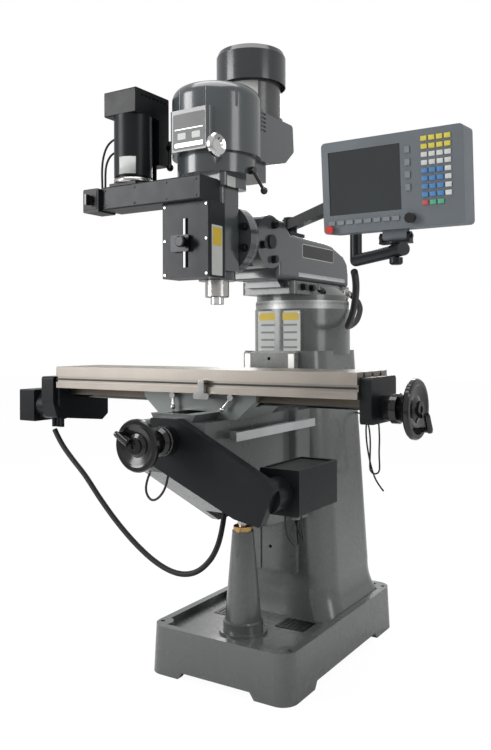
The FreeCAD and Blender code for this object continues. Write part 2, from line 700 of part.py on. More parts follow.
def belt_housing():
    """Variable-speed drive housing: a round dome over the spindle and a tail under the motor."""
    dome = rod(DOME_R, (0, SPINDLE_Y, HOUSING_BOTTOM_Z), (0, SPINDLE_Y, DOME_TOP_Z))
    dome = dome.makeFillet(46, [e for e in dome.Edges if e.CenterOfMass.z > DOME_TOP_Z
                                - 1 and e.Length > 100])
    tail_side = [(SPINDLE_Y, HOUSING_BOTTOM_Z), (SPINDLE_Y, DOME_TOP_Z - 22),
                 (MOTOR_Y - 130, DOME_TOP_Z - 56), (MOTOR_Y - 118, MOTOR_BASE_Z),
                 (MOTOR_Y + 96, MOTOR_BASE_Z), (MOTOR_Y + 104, MOTOR_BASE_Z - 100), (MOTOR_Y + 40,
                         HOUSING_BOTTOM_Z + 26),
                 (MOTOR_Y - 60, HOUSING_BOTTOM_Z)]
    tail = rounded(outline_yz(tail_side, -128, 128), 14, X)
    plinth = rod(126, (0, MOTOR_Y, MOTOR_BASE_Z - 60), (0, MOTOR_Y, MOTOR_BASE_Z))
    body = join(dome, tail, plinth)
    nose = box(-84, 84, SPINDLE_Y - 166, SPINDLE_Y - 80, HOUSING_BOTTOM_Z, HOUSING_BOTTOM_Z + 142)
    nose = rounded(nose, 14, Z)
    body = join(body, nose)
    for i in range(5):
        z = 2052 - i * 15
        body = body.cut(box(124, 130, -352, -312, z, z + 6))
    for i in range(4):
        turn = math.radians(-60 + 40 * i)
        x = (DOME_R + 2) * math.sin(turn)
        y = SPINDLE_Y - (DOME_R + 2) * math.cos(turn)
        body = body.cut(rod(5, (x, y, HOUSING_BOTTOM_Z + 150), (x, y, DOME_TOP_Z + 1)))
    wall = HOUSING_WALL
    room = rod(DOME_R - wall, (0, SPINDLE_Y, HOUSING_BOTTOM_Z + wall), (0, SPINDLE_Y, DOME_TOP_Z - 50))
    tail_room = box(-128 + wall, 128 - wall, SPINDLE_Y, MOTOR_Y + 20, HOUSING_BOTTOM_Z + 46,
                    MOTOR_BASE_Z - 14)
    body = body.cut(room).cut(tail_room)
    boss = rod(SPEED_BOSS_R, tuple(V(*SPEED_AT) - SPEED_AXIS * 24),
               tuple(V(*SPEED_AT) + SPEED_AXIS * SPEED_BOSS_OUT))
    under = box(-DOME_R, DOME_R, SPINDLE_Y - 220, SPINDLE_Y, HOUSING_BOTTOM_Z - 60, HOUSING_BOTTOM_Z)
    body = join(body, boss.cut(under))
    body = body.cut(rod(MOTOR_FOOT_R + 2, (0, MOTOR_Y, MOTOR_BASE_Z), (0, MOTOR_Y, DOME_TOP_Z + 1)))
    body = body.cut(rod(LEVER_HUB_R + SHAFT_GAP, (-180, *BRAKE_AT), (-120, *BRAKE_AT)))
    return body.cut(rod(30, (0, SPINDLE_Y, HOUSING_BOTTOM_Z - 1), (0, SPINDLE_Y, DOME_TOP_Z - 60)))


def gear_housing():
    """Back-gear and brake housing between the quill housing and the belt housing."""
    round_part = rod(140, (0, SPINDLE_Y, HEAD_TOP_Z), (0, SPINDLE_Y, HOUSING_BOTTOM_Z))
    tail = box(-110, 110, SPINDLE_Y, MOTOR_Y - 76, HEAD_TOP_Z, HOUSING_BOTTOM_Z)
    body = join(round_part, tail)
    body = body.cut(rod(QUILL_R + 2, (0, SPINDLE_Y, HEAD_TOP_Z - 1), (0, SPINDLE_Y, HOUSING_BOTTOM_Z + 1)))
    return body.cut(rod(LEVER_HUB_R + SHAFT_GAP, (108, *RANGE_AT), (150, *RANGE_AT)))


def drive_motor():
    body = rod(MOTOR_R, (0, MOTOR_Y, MOTOR_BASE_Z + 12), (0, MOTOR_Y, MOTOR_CAP_Z))
    foot = rod(MOTOR_FOOT_R, (0, MOTOR_Y, MOTOR_BASE_Z), (0, MOTOR_Y, MOTOR_BASE_Z + 12))
    terminal = soft_box(-40, 40, MOTOR_Y + MOTOR_R - 20, MOTOR_Y + MOTOR_R + 44, 2100, 2190, 5, Z)
    return join(body, foot, terminal)


def motor_cap():
    """Rain cap over the motor fan, open underneath round the frame."""
    skirt = 3.0
    profile = [(0, MOTOR_CAP_Z + 8), (MOTOR_CAP_R - skirt, MOTOR_CAP_Z + 8),
               (MOTOR_CAP_R - skirt, MOTOR_CAP_Z - 24),
               (MOTOR_CAP_R, MOTOR_CAP_Z - 24), (MOTOR_CAP_R, MOTOR_TOP_Z - 30), (MOTOR_CAP_R - 8,
                       MOTOR_TOP_Z - 12),
               (MOTOR_CAP_R - 30, MOTOR_TOP_Z - 3), (60, MOTOR_TOP_Z), (0, MOTOR_TOP_Z)]
    cap = lathe(profile, (0, MOTOR_Y, 0), Z)
    return cap.fuse(rod(40, (0, MOTOR_Y, MOTOR_CAP_Z), (0, MOTOR_Y, MOTOR_CAP_Z + 10))).removeSplitter()


def quill():
    bore = SPINDLE_R + SHAFT_GAP
    profile = [(bore, QUILL_BOTTOM_Z), (QUILL_R - 3, QUILL_BOTTOM_Z), (QUILL_R, QUILL_BOTTOM_Z + 3),
               (QUILL_R, QUILL_TOP_Z),
               (bore, QUILL_TOP_Z)]
    return lathe(profile, (0, SPINDLE_Y, 0), Z)


def quill_tab():
    """Tab and round knob that ride in the cover slot with the quill."""
    z = 1567.0
    shank = box(-TAB_HALF_W, TAB_HALF_W, COVER_FRONT_Y - 8, SPINDLE_Y, z - 9, z + 9)
    shank = shank.cut(rod(QUILL_R + SLIDE_GAP, (0, SPINDLE_Y, z - 10), (0, SPINDLE_Y, z + 10)))
    plate = soft_box(-52, 24, COVER_FRONT_Y - 14, COVER_FRONT_Y - 6, z - 30, z + 26, 6, Y)
    knob = lathe([(0, 0), (13, 0), (13, 10), (19, 14), (19, 28), (15, 32), (0, 32)],
                 (8, COVER_FRONT_Y - 14, z), Y * -1)
    return join(shank, plate, knob)


def spindle():
    """Spindle with its nose and tapered collet bore."""
    z0 = SPINDLE_BOTTOM_Z
    profile = [(15.9, z0), (SPINDLE_R - 1.5, z0), (SPINDLE_R, z0 + 1.5), (SPINDLE_R, QUILL_TOP_Z + 6),
               (9, QUILL_TOP_Z + 6),
               (9, z0 + 24 + SPINDLE_BORE_L), (SPINDLE_BORE_R,
                                               z0 + 24 + SPINDLE_BORE_L), (SPINDLE_BORE_R, z0 + 24)]
    return lathe(profile, (0, SPINDLE_Y, 0), Z)


def speed_wheel():
    """Speed control wheel on the right front of the belt housing."""
    rim = [(18, 4), (30, 8), (36, 6), (40, 10), (40, 20), (34, 25), (26, 22), (18, 18)]
    back = SPEED_BOSS_OUT + 8
    profile = [(0, SPEED_BOSS_OUT + SLIDE_GAP), (10, SPEED_BOSS_OUT + SLIDE_GAP), (10, back + 4)]
    profile += [(r, back + z) for r, z in rim] + [(0, back + 20)]
    return lathe(profile, SPEED_AT, SPEED_AXIS)


def lever(start, end, ball_r, rod_r):
    """Round shank with a ball on its end, turned in one piece."""
    axis = V(*end) - V(*start)
    length = axis.Length
    axis.normalize()
    neck = math.asin(rod_r / ball_r)
    profile = [(0, 0), (rod_r, 0)]
    for i in range(11):
        turn = neck + (math.pi - neck) * i / 10
        profile.append((ball_r * math.sin(turn) if i < 10 else 0, length - ball_r * math.cos(turn)))
    return lathe(profile, start, axis)


def brake_lever():
    """Spindle brake lever on the left of the belt housing, hanging down from its hub."""
    y, z = BRAKE_AT
    hub = rod(LEVER_HUB_R, (-165, y, z), (-140, y, z))
    boss = rod(13, (-171, y, z), (-155, y, z))
    stub = rod(8, (-163, y, z), (-163, y, z + 22))
    return join(hub, boss, stub, lever((-163, y, z), (-166, y + 4, z - 71), 13, 6))


def range_lever():
    """High and low range lever on the right of the gear housing."""
    y, z = RANGE_AT
    hub = rod(LEVER_HUB_R, (110, y, z), (149, y, z))
    boss = rod(13, (143, y, z), (160, y, z))
    return join(hub, boss, lever((152, y, z), (188, y + 16, z - 72), 13, 6))


# ---------------------------------------------------------------- panel arm and panel

def square_tube(start, end, size):
    a = V(*start)
    b = V(*end)
    bar = Part.makeBox((b - a).Length, size, size, V(0, -size / 2, -size / 2))
    bar.Placement = FreeCAD.Placement(a, FreeCAD.Rotation(X, b - a))
    return bar


def support_arm():
    """Arm from the ram to the panel: an upper tube, a drop and a lower tube."""
    px, py = ARM_PIVOT
    ex = px + (PIN_X - px) * ARM_BEND
    ey = py + (PIN_Y - py) * ARM_BEND
    overshoot = 1.05
    tip_x = px + (PIN_X - px) * overshoot
    tip_y = py + (PIN_Y - py) * overshoot
    hub = rod(30, (px, py, ARM_HUB_Z), (px, py, ARM_HUB_Z + ARM_HUB_H))
    half = ARM_TUBE / 2
    upper = square_tube((px, py, ARM_UPPER_Z), (ex, ey, ARM_UPPER_Z), ARM_TUBE)
    drop = rod(half, (ex, ey, ARM_LOWER_Z), (ex, ey, ARM_UPPER_Z))
    corners = Part.makeSphere(half, V(ex, ey, ARM_LOWER_Z)).fuse(Part.makeSphere(half,
            V(ex, ey, ARM_UPPER_Z)))
    lower = rod(half, (ex, ey, ARM_LOWER_Z), (tip_x, tip_y, ARM_LOWER_Z))
    arm = join(hub, upper, drop, corners, lower)
    arm = arm.cut(rod(16 + SHAFT_GAP, (px, py, ARM_HUB_Z - 1), (px, py, ARM_HUB_Z + ARM_HUB_H + 1)))
    return arm.cut(rod(10 + SHAFT_GAP, (PIN_X, PIN_Y, ARM_LOWER_Z - 30), (PIN_X, PIN_Y, ARM_LOWER_Z + 30)))


def panel_bracket():
    """Swivel yoke under the panel, with its clamp knob below the arm."""
    top = ARM_LOWER_Z + ARM_TUBE / 2
    pin = rod(10, (PIN_X, PIN_Y, ARM_LOWER_Z - 30), (PIN_X, PIN_Y, top + 4))
    disc = rod(26, (PIN_X, PIN_Y, top + SLIDE_GAP), (PIN_X, PIN_Y, top + 5))
    plate = box(PIN_X - 46, PIN_X + 46, PIN_Y - 15, PIN_Y + 15, top + SLIDE_GAP, top + 5)
    knob = lathe([(0, 0), (19, 0), (19, -16), (14, -20), (0, -20)],
                 (PIN_X, PIN_Y, ARM_LOWER_Z - ARM_TUBE / 2 - 1), Z)
    ears = []
    for side in (-1, 1):
        x0 = PIN_X + side * (36 + SLIDE_GAP)
        x1 = PIN_X + side * 46
        ears.append(rod(13, (x0, PIN_Y, TILT_Z), (x1, PIN_Y, TILT_Z)))
        ears.append(box(min(x0, x1), max(x0, x1), PIN_Y - 13, PIN_Y + 13, top + 1, TILT_Z))
    hinge = rod(6, (PIN_X - 50, PIN_Y, TILT_Z), (PIN_X + 50, PIN_Y, TILT_Z))
    return join(pin, disc, plate, knob, hinge, *ears)


def leaned(shape):
    turned = shape.copy()
    turned.rotate(V(PIN_X, PANEL_Y, PANEL_Z), X, PANEL_LEAN)
    return turned


def panel_point(u, v):
    """Place on the panel face, from shares of its width and height measured from the top left."""
    return PIN_X - PANEL_W / 2 + u * PANEL_W, PANEL_Z + PANEL_H / 2 - v * PANEL_H


SCREEN_U = (0.05, 0.575)
SCREEN_V = (0.11, 0.80)
KEY_PITCH_U = 0.052
KEY_PITCH_V = 0.082
KEY_W = 17.0
KEY_H = 13.0
KEY_OUT = 3.0
KEY_DEEP = 5.0
KEY_GAP = 0.4
KEY_TRAVEL = 1.5
NUMBER_KEYS = [(c, r) for r in range(4, 9) for c in range(3)]
FUNCTION_KEYS = [(c, r) for r in range(2) for c in range(4)]
LETTER_KEYS = [(c, r) for r in range(2, 4) for c in range(4)] + [(3, r) for r in range(4, 8)]
KEY_U0 = 0.74
KEY_V0 = 0.10


def key_block(u, v, w, h, grow=0.0):
    """Key cap, or its pocket when grow is a clearance."""
    x, z = panel_point(u, v)
    back = PANEL_Y + KEY_DEEP + (KEY_TRAVEL + grow if grow else 0)
    return box(x - w / 2 - grow, x + w / 2 + grow, PANEL_Y - KEY_OUT, back, z - h / 2 - grow,
               z + h / 2 + grow)


def grid_keys(cells, grow=0.0):
    return [key_block(KEY_U0 + c * KEY_PITCH_U, KEY_V0 + r * KEY_PITCH_V, KEY_W, KEY_H, grow)
            for c, r in cells]


def soft_keys(grow=0.0):
    row = [key_block(0.065 + i * 0.067, 0.885, 20, 12, grow) for i in range(8)]
    column = [key_block(0.625, 0.19 + i * 0.13, 14, 18, grow) for i in range(4)]
    return row + column


def moved_in(shapes):
    return leaned(Part.makeCompound(shapes))


STOP_U, STOP_V, STOP_R = 0.055, 0.955, 11.0
JOG_U, JOG_V, JOG_R = 0.64, 0.90, 14.0


def face_rod(radius, u, v, y0, y1):
    x, z = panel_point(u, v)
    return rod(radius, (x, y0, z), (x, y1, z))


def panel_housing():
    half = PANEL_W / 2
    z0 = PANEL_Z - PANEL_H / 2
    z1 = PANEL_Z + PANEL_H / 2
    shell = soft_box(PIN_X - half, PIN_X + half, PANEL_Y, PANEL_Y + PANEL_T, z0, z1, 12, Y)
    x0, top = panel_point(SCREEN_U[0], SCREEN_V[0])
    x1, bottom = panel_point(SCREEN_U[1], SCREEN_V[1])
    shell = shell.cut(box(x0, x1, PANEL_Y - 1, PANEL_Y + 6, bottom, top))
    for key in grid_keys(NUMBER_KEYS + FUNCTION_KEYS + LETTER_KEYS, KEY_GAP) + soft_keys(KEY_GAP):
        shell = shell.cut(key)
    shell = shell.cut(face_rod(STOP_R * 0.5 + SHAFT_GAP, STOP_U, STOP_V, PANEL_Y - 1, PANEL_Y + 16))
    shell = shell.cut(face_rod(JOG_R * 0.4 + SHAFT_GAP, JOG_U, JOG_V, PANEL_Y - 1, PANEL_Y + 16))
    shell = leaned(shell)
    lug = box(PIN_X - 36, PIN_X + 36, PIN_Y - 13, PIN_Y + 13, TILT_Z, TILT_Z + 26)
    lug = lug.fuse(rod(13, (PIN_X - 36, PIN_Y, TILT_Z), (PIN_X + 36, PIN_Y, TILT_Z)))
    shell = join(shell, lug)
    return shell.cut(rod(6 + SHAFT_GAP, (PIN_X - 40, PIN_Y, TILT_Z), (PIN_X + 40, PIN_Y, TILT_Z)))


def panel_screen():
    x0, top = panel_point(SCREEN_U[0], SCREEN_V[0])
    x1, bottom = panel_point(SCREEN_U[1], SCREEN_V[1])
    return leaned(box(x0 + 0.2, x1 - 0.2, PANEL_Y + 3, PANEL_Y + 6, bottom + 0.2, top - 0.2))


def stop_button():
    stem = face_rod(STOP_R * 0.5, STOP_U, STOP_V, PANEL_Y - 8, PANEL_Y + 12)
    head = face_rod(STOP_R, STOP_U, STOP_V, PANEL_Y - 16, PANEL_Y - 7)
    return leaned(join(stem, head))


def jog_knob():
    stem = face_rod(JOG_R * 0.4, JOG_U, JOG_V, PANEL_Y - 6, PANEL_Y + 12)
    head = face_rod(JOG_R, JOG_U, JOG_V, PANEL_Y - 18, PANEL_Y - 1)
    return leaned(join(stem, head))


# ---------------------------------------------------------------- knee

def knee():
    """Knee casting: it hugs the column ways, carries the saddle and is hollow over the lifting screw."""
    side = [(KNEE_FRONT_Y, KNEE_TOP_Z), (KNEE_FRONT_Y, KNEE_FRONT_Z), (KNEE_SLOPE_END_Y, KNEE_BOTTOM_Z),
            (KNEE_BACK_Y, KNEE_BOTTOM_Z), (KNEE_BACK_Y, KNEE_TOP_Z)]
    body = outline_yz(side, -KNEE_HALF_W, KNEE_HALF_W)
    jaws = soft_box(-KNEE_JAW_HALF_W, KNEE_JAW_HALF_W, WAY_FRONT_Y - 70, KNEE_BACK_Y, KNEE_BOTTOM_Z,
                    KNEE_TOP_Z, 10)
    body = join(body, jaws, knee_way(KNEE_FRONT_Y, WAY_FRONT_Y - 72))
    body = body.cut(outline_xy(way_outline(SLIDE_GAP), KNEE_BOTTOM_Z - 1, KNEE_TOP_Z + 30))
    body = body.cut(box(-100, 100, LIFT_Y - 100, LIFT_Y + 100, KNEE_BOTTOM_Z - 20, 852))
    body = body.cut(box(-45, 45, KNEE_FRONT_Y + 20, -165, 868, KNEE_TOP_Z + KNEE_WAY_H + 1))
    body = body.cut(rod(SCREW_R + SHAFT_GAP, (0, KNEE_FRONT_Y - 1, Y_SCREW_Z), (0, -140, Y_SCREW_Z)))
    return body.cut(rod(LIFT_SCREW_R + SHAFT_GAP, (0, LIFT_Y, 850), (0, LIFT_Y, 866)))


def knee_way(y0, y1, grow=0.0):
    return way(False, KNEE_TOP_Z, KNEE_TOP_Z + KNEE_WAY_H, KNEE_WAY_HALF_W - 14, KNEE_WAY_HALF_W, 0, y0,
               y1, grow)


def elevating_screw():
    return rod(LIFT_SCREW_R, (0, LIFT_Y, 340), (0, LIFT_Y, 864))


def y_drive_housing():
    """Slanted belt housing on the knee front, from the cross screw down to its motor."""
    front = -735.0
    outline = [(-68, 985), (42, 985), (398, 806), (404, 790), (356, 672), (262, 688), (-56, 826)]
    plate = rounded(outline_xz(outline, front, KNEE_FRONT_Y), 10, Y)
    boss = rod(50, (0, front - 8, Y_SCREW_Z), (0, front + 1, Y_SCREW_Z))
    body = join(plate, boss)
    inner = [(-40, 960), (34, 960), (372, 792), (340, 700), (262, 712), (-36, 842)]
    body = body.cut(outline_xz(inner, front + 6, KNEE_FRONT_Y - 8))
    return body.cut(rod(SCREW_R + SHAFT_GAP, (0, front - 9, Y_SCREW_Z), (0, KNEE_FRONT_Y + 1, Y_SCREW_Z)))


def y_motor():
    """Cross-feed motor behind the belt housing, in its rectangular case."""
    flange = rod(52, (356, KNEE_FRONT_Y, 760), (356, -623, 760))
    case = soft_box(288, 430, -623, -356, 690, 835, 5, Y)
    lid = box(298, 420, -613, -366, 831, 836)
    return join(flange, case.cut(lid))


def y_scale():
    bar = box(KNEE_JAW_HALF_W, KNEE_JAW_HALF_W + 20, -595, -36, 905, 935)
    bracket = box(KNEE_HALF_W, KNEE_JAW_HALF_W, -560, -530, 908, 932)
    return join(bar, bracket)


def handwheel(radius, origin, axis, grip_turn):
    """Dished handwheel with its grip folded in over the hub."""
    outer = radius
    profile = [(SCREW_R, -30), (24, -30), (24, 4), (outer * 0.45, 0), (outer - 20, 6), (outer - 16, -6),
               (outer - 4, -6),
               (outer, -1), (outer, 9), (outer - 4, 14), (outer - 16, 14), (outer - 22,
                       12), (outer * 0.45, 8), (26, 14),
               (26, 22), (SCREW_R, 22)]
    wheel = lathe(profile, origin, axis)
    side = axis.cross(Z)
    side.normalize()
    turn = math.radians(grip_turn)
    radial = side * math.cos(turn) + Z * math.sin(turn)
    at = V(*origin) + radial * (outer * 0.8)
    post = rod(9, tuple(at), tuple(at + axis * 34))
    grip = lathe([(0, -8), (8, -8), (10, 0), (10, outer * 0.55), (8, outer * 0.62), (0, outer * 0.62)],
                 tuple(at + axis * 34), radial * -1)
    return join(wheel, post, grip)


def y_wheel():
    """Cross-feed handwheel, graduated dial and screw."""
    dial = lathe([(SCREW_R, -2), (26, -2), (26, -8), (47, -8), (47, -40), (38, -52), (24, -52),
                  (24, -104), (SCREW_R, -104)],
                 (0, -735, Y_SCREW_Z), Y)
    screw = rod(SCREW_R, (0, Y_WHEEL_Y - 18, Y_SCREW_Z), (0, -142, Y_SCREW_Z))
    clear_front = dial.cut(rod(52, (0, -744, Y_SCREW_Z), (0, -700, Y_SCREW_Z)))
    return join(clear_front, screw, handwheel(Y_WHEEL_R, (0, Y_WHEEL_Y, Y_SCREW_Z), Y * -1, 31))


# ---------------------------------------------------------------- saddle and table

def table_way(x0, x1, grow=0.0):
    return way(True, TABLE_TOP_Z - TABLE_H - TABLE_DOVE_H, TABLE_TOP_Z - TABLE_H, TABLE_DOVE_HALF_W,
               TABLE_DOVE_HALF_W - 14,
               TABLE_Y, x0, x1, grow)


def saddle():
    top = TABLE_TOP_Z - TABLE_H - SLIDE_GAP
    bottom = KNEE_TOP_Z + SLIDE_GAP
    front = [(-SADDLE_FOOT_HALF_L, bottom), (SADDLE_FOOT_HALF_L, bottom), (SADDLE_HALF_L, top - 22),
             (SADDLE_HALF_L, top),
             (-SADDLE_HALF_L, top), (-SADDLE_HALF_L, top - 22)]
    body = outline_xz(front, SADDLE_FRONT_Y, SADDLE_BACK_Y)
    body = body.cut(knee_way(SADDLE_FRONT_Y - 1, SADDLE_BACK_Y + 1, SLIDE_GAP))
    body = body.cut(table_way(-SADDLE_HALF_L - 1, SADDLE_HALF_L + 1, SLIDE_GAP))
    channel = box(-SADDLE_HALF_L - 1, SADDLE_HALF_L + 1, TABLE_Y - 16, TABLE_Y + 16, X_SCREW_Z - 16,
                  top + 1)
    body = body.cut(channel)
    x_nut = box(-30, 30, TABLE_Y - 13, TABLE_Y + 13, X_SCREW_Z - 18, X_SCREW_Z + 14)
    y_nut = box(-38, 38, -480, -420, 890, bottom + 30)
    body = join(body, x_nut, y_nut)
    body = body.cut(rod(SCREW_R + SHAFT_GAP, (-31, TABLE_Y, X_SCREW_Z), (31, TABLE_Y, X_SCREW_Z)))
    return body.cut(rod(SCREW_R + SHAFT_GAP, (0, -481, Y_SCREW_Z), (0, -419, Y_SCREW_Z)))


def table_stop():
    """Travel stop bolted to the saddle front, standing up in front of the table."""
    front = TABLE_Y - TABLE_W / 2 - 18
    back = TABLE_Y - TABLE_W / 2 - 4
    arm = box(44, 88, front, SADDLE_FRONT_Y, 1043, 1056)
    foot = soft_box(34, 98, front, back, 1043, 1063, 9, Y)
    upright = soft_box(54, 78, front, back, 1050, 1107, 4, Y)
    return join(arm, foot, upright)


def table_lock(x, lean):
    """Clamp lever on the saddle front."""
    y = SADDLE_FRONT_Y
    stud = rod(7, (x, y, LOCK_Z), (x, y - 26, LOCK_Z))
    boss = rod(11, (x, y - 10, LOCK_Z), (x, y - 26, LOCK_Z))
    arm = lever((x, y - 18, LOCK_Z), (x + lean, y - 22, KNEE_TOP_Z + KNEE_WAY_H + 11), 9, 5)
    return join(stud, boss, arm)


def table():
    z1 = TABLE_TOP_Z
    z0 = z1 - TABLE_H
    half = TABLE_L / 2
    y0 = TABLE_Y - TABLE_W / 2
    y1 = TABLE_Y + TABLE_W / 2
    body = join(box(-half, half, y0, y1, z0, z1), table_way(-half, half))
    for i in (-1, 0, 1):
        y = TABLE_Y + i * SLOT_PITCH
        body = body.cut(box(-half - 1, half + 1, y - SLOT_W / 2, y + SLOT_W / 2, z1 - SLOT_NECK, z1 + 1))
        body = body.cut(box(-half - 1, half + 1, y - SLOT_HEAD_W / 2, y + SLOT_HEAD_W / 2,
                            z1 - SLOT_NECK - SLOT_HEAD_H, z1 - SLOT_NECK + 0.01))
    for y in (y0, y1):
        body = body.cut(box(-half - 1, half + 1, y - 9, y + 9, z0 + 22.5, z0 + 43))
    channel = box(-half - 1, half + 1, TABLE_Y - 16, TABLE_Y + 16, z0 - TABLE_DOVE_H - 1, X_SCREW_Z + 17)
    return body.cut(channel)


def table_brackets():
    half = TABLE_L / 2
    plates = []
    for side in (-1, 1):
        x0 = side * half
        x1 = side * (half + (38 if side > 0 else 17))
        plate = soft_box(min(x0, x1), max(x0, x1), TABLE_Y - 98, TABLE_Y + 98, 985, 1126, 12, X)
        if side > 0:
            plate = join(plate, rod(38, (x1 - 1, TABLE_Y, X_SCREW_Z), (x1 + 30, TABLE_Y, X_SCREW_Z)))
        plates.append(plate.cut(rod(SCREW_R + SHAFT_GAP, (x0 - side, TABLE_Y, X_SCREW_Z),
                                    (x1 + side * 40, TABLE_Y, X_SCREW_Z))))
    return Part.makeCompound(plates)


def x_drive_housing():
    """Belt housing on the left end of the table, from the screw down to its motor."""
    x1 = -TABLE_L / 2 - 17
    x0 = x1 - 62
    outline = [(-616, 1102), (-616, 1006), (-596, 944), (-346, 916), (-312, 940), (-312, 1030),
               (-398, 1102)]
    body = rounded(outline_yz(outline, x0, x1), 10, X)
    inner = [(-604, 1090), (-604, 1012), (-586, 958), (-350, 930), (-324, 950), (-324, 1024), (-404, 1090)]
    body = body.cut(outline_yz(inner, x0 + 6, x1 - 8))
    for x, radius in ((-690, 10), (-668, 8), (-650, 9)):
        body = join(body, rod(radius, (x, -560, 905), (x, -560, 948)))
    return body.cut(rod(SCREW_R + 4, (x1 - 20, TABLE_Y, X_SCREW_Z), (x1 + 1, TABLE_Y, X_SCREW_Z)))


def x_motor():
    x1 = -TABLE_L / 2 - 17 - 62
    body = rod(54, (x1, -500, 981), (x1 - 108, -500, 981))
    case = soft_box(x1 - 186, x1 - 104, -560, -440, 918, 1044, 5, X)
    return join(body, case)


def x_screw():
    """Longitudinal screw with its dial and handwheel."""
    face = TABLE_L / 2 + 38 + 30
    dial = lathe([(SCREW_R, 0.5), (47, 0.5), (47, 22), (40, 30), (24, 30), (24, 44), (SCREW_R, 44)],
                 (face, TABLE_Y, X_SCREW_Z), X)
    screw = rod(SCREW_R, (-TABLE_L / 2 - 30, TABLE_Y, X_SCREW_Z), (X_WHEEL_X + 18, TABLE_Y, X_SCREW_Z))
    return join(dial, screw, handwheel(WHEEL_R, (X_WHEEL_X, TABLE_Y, X_SCREW_Z), X, -120))


# ---------------------------------------------------------------- cables

X_CABLE_D = 20.0
X_CABLE = [
    (-690, -560, 893), (-664, -558, 847), (-603, -555, 785), (-538, -552, 729),
    (-465, -548, 644), (-378, -545, 559), (-285, -542, 486), (-195, -538, 433),
    (-109, -532, 408), (-39, -520, 420), (7, -500, 464), (20, -470, 511),
    (11, -428, 565), (-4, -392, 613.2),
]
LOOM_D = 24.0
LOOM = [
    (541, -455, 1455), (530, -420, 1439), (500, -350, 1405), (455, -262, 1365),
    (400, -165, 1325), (340, -65, 1300), (285, 40, 1290), (256, 130, 1294),
    (250, 200, 1312), (238, 258, 1342), (222, 308, 1378), (184, 344, 1418),
    (131.2, 362, 1448),
]
HEAD_CABLE_D = 8.0
HEAD_CABLES = [
    [(-328.2, -590, 1975), (-352, -591, 1972), (-382, -595, 1950), (-396, -600, 1906),
     (-397, -604, 1860), (-393, -607, 1818), (-390, -609, 1782.8)],
    [(-328.2, -590, 1925), (-348, -593, 1923), (-366, -600, 1905), (-373, -608, 1876),
     (-371, -614, 1843), (-367, -618, 1812), (-366, -620, 1782.8)],
]
KNEE_CABLE_D = 8.0
KNEE_CABLES = [
    [(312, -500, 689.2), (310, -498, 660), (305, -490, 624), (300, -470, 588),
     (295, -432, 556), (283, -382, 530), (262, -327, 515), (233, -270, 508),
     (200, -214, 508), (173, -166, 517), (152, -130, 532), (142, -110, 548)],
    [(352, -470, 689.2), (352, -466, 658), (347, -453, 620), (335, -426, 584),
     (316, -385, 556), (290, -336, 537), (256, -284, 528), (220, -234, 528),
     (188, -190, 532), (162, -152, 539), (146, -130, 547)],
    [(-105, -690, 791.9), (-114, -698, 764), (-110, -706, 726), (-78, -713, 703),
     (-40, -717, 722), (-12, -718, 762), (-5, -718, 798)],
]
POWER_CORD_D = 7.0
POWER_CORD = [
    (200.8, 300, 930), (221, 300, 929), (242, 300, 918), (256, 300, 896),
    (264, 301, 862), (268, 301, 812), (267, 300, 758), (266, 299, 722),
    (266.6, 298, 694.4), (275.5, 296, 682.1), (290, 294, 677.4), (304.5, 292, 682.1),
    (313.4, 290, 694.4), (314, 289, 722), (312, 288, 766), (315, 287, 822),
    (314, 286, 864), (313.4, 284, 891.6), (304.5, 280, 903.9), (290, 275, 908.6),
    (275.5, 269, 903.9), (266.6, 264, 891.6), (265, 262, 864), (269, 259, 814),
    (280, 256, 756), (296, 252, 700), (318, 248, 652), (350, 244, 620),
]


SHAPES = {
    "column_base": column_base, "elevating_pedestal": pedestal, "elevating_nut": elevating_nut,
    "drain_screens": drain_screens, "turret_degree_ring": turret_ring, "turret": turret,
    "turret_bolts": turret_bolts, "ram_pinion": ram_pinion, "ram": ram, "nod_bolts": nod_bolts,
    "arm_clamp": arm_clamp, "ram_adapter": ram_adapter, "head_casting": head_casting,
    "tilt_bolts": tilt_bolts, "quill_drive_cover": quill_drive_cover, "drive_beam": drive_beam,
    "quill_motor": quill_motor, "motor_control_box": motor_control_box, "selector_box": selector_box,
    "selector_knob": selector_knob, "belt_housing": belt_housing, "gear_housing": gear_housing,
    "drive_motor": drive_motor, "motor_cap": motor_cap, "quill": quill, "quill_tab": quill_tab,
    "spindle": spindle, "speed_wheel": speed_wheel, "brake_lever": brake_lever,
    "range_lever": range_lever, "support_arm": support_arm, "panel_bracket": panel_bracket,
    "panel_housing": panel_housing, "panel_screen": panel_screen,
    "keypad_keys": lambda: moved_in(grid_keys(NUMBER_KEYS + FUNCTION_KEYS + LETTER_KEYS)),
    "soft_keys": lambda: moved_in(soft_keys()), "stop_button": stop_button, "jog_knob": jog_knob,
    "knee": knee, "elevating_screw": elevating_screw, "y_drive_housing": y_drive_housing,
    "y_motor": y_motor, "y_scale": y_scale, "y_wheel": y_wheel, "saddle": saddle,
    "table_stop": table_stop, "left_table_lock": lambda: table_lock(-92, 2),
    "right_table_lock": lambda: table_lock(150, -34), "table": table,
    "table_brackets": table_brackets, "x_drive_housing": x_drive_housing, "x_motor": x_motor,
    "x_screw": x_screw,
}
for name, make in SHAPES.items():
    save(name, make())
save("x_cable", cord("x_cable", X_CABLE, X_CABLE_D))
save("panel_loom", cord("panel_loom", LOOM, LOOM_D))
save("head_cables", Part.makeCompound([cord("head_cable", route, HEAD_CABLE_D) for route in HEAD_CABLES]))
save("knee_cables", Part.makeCompound([cord("knee_cable", route, KNEE_CABLE_D) for route in KNEE_CABLES]))
save("power_cord", cord("power_cord", POWER_CORD, POWER_CORD_D))
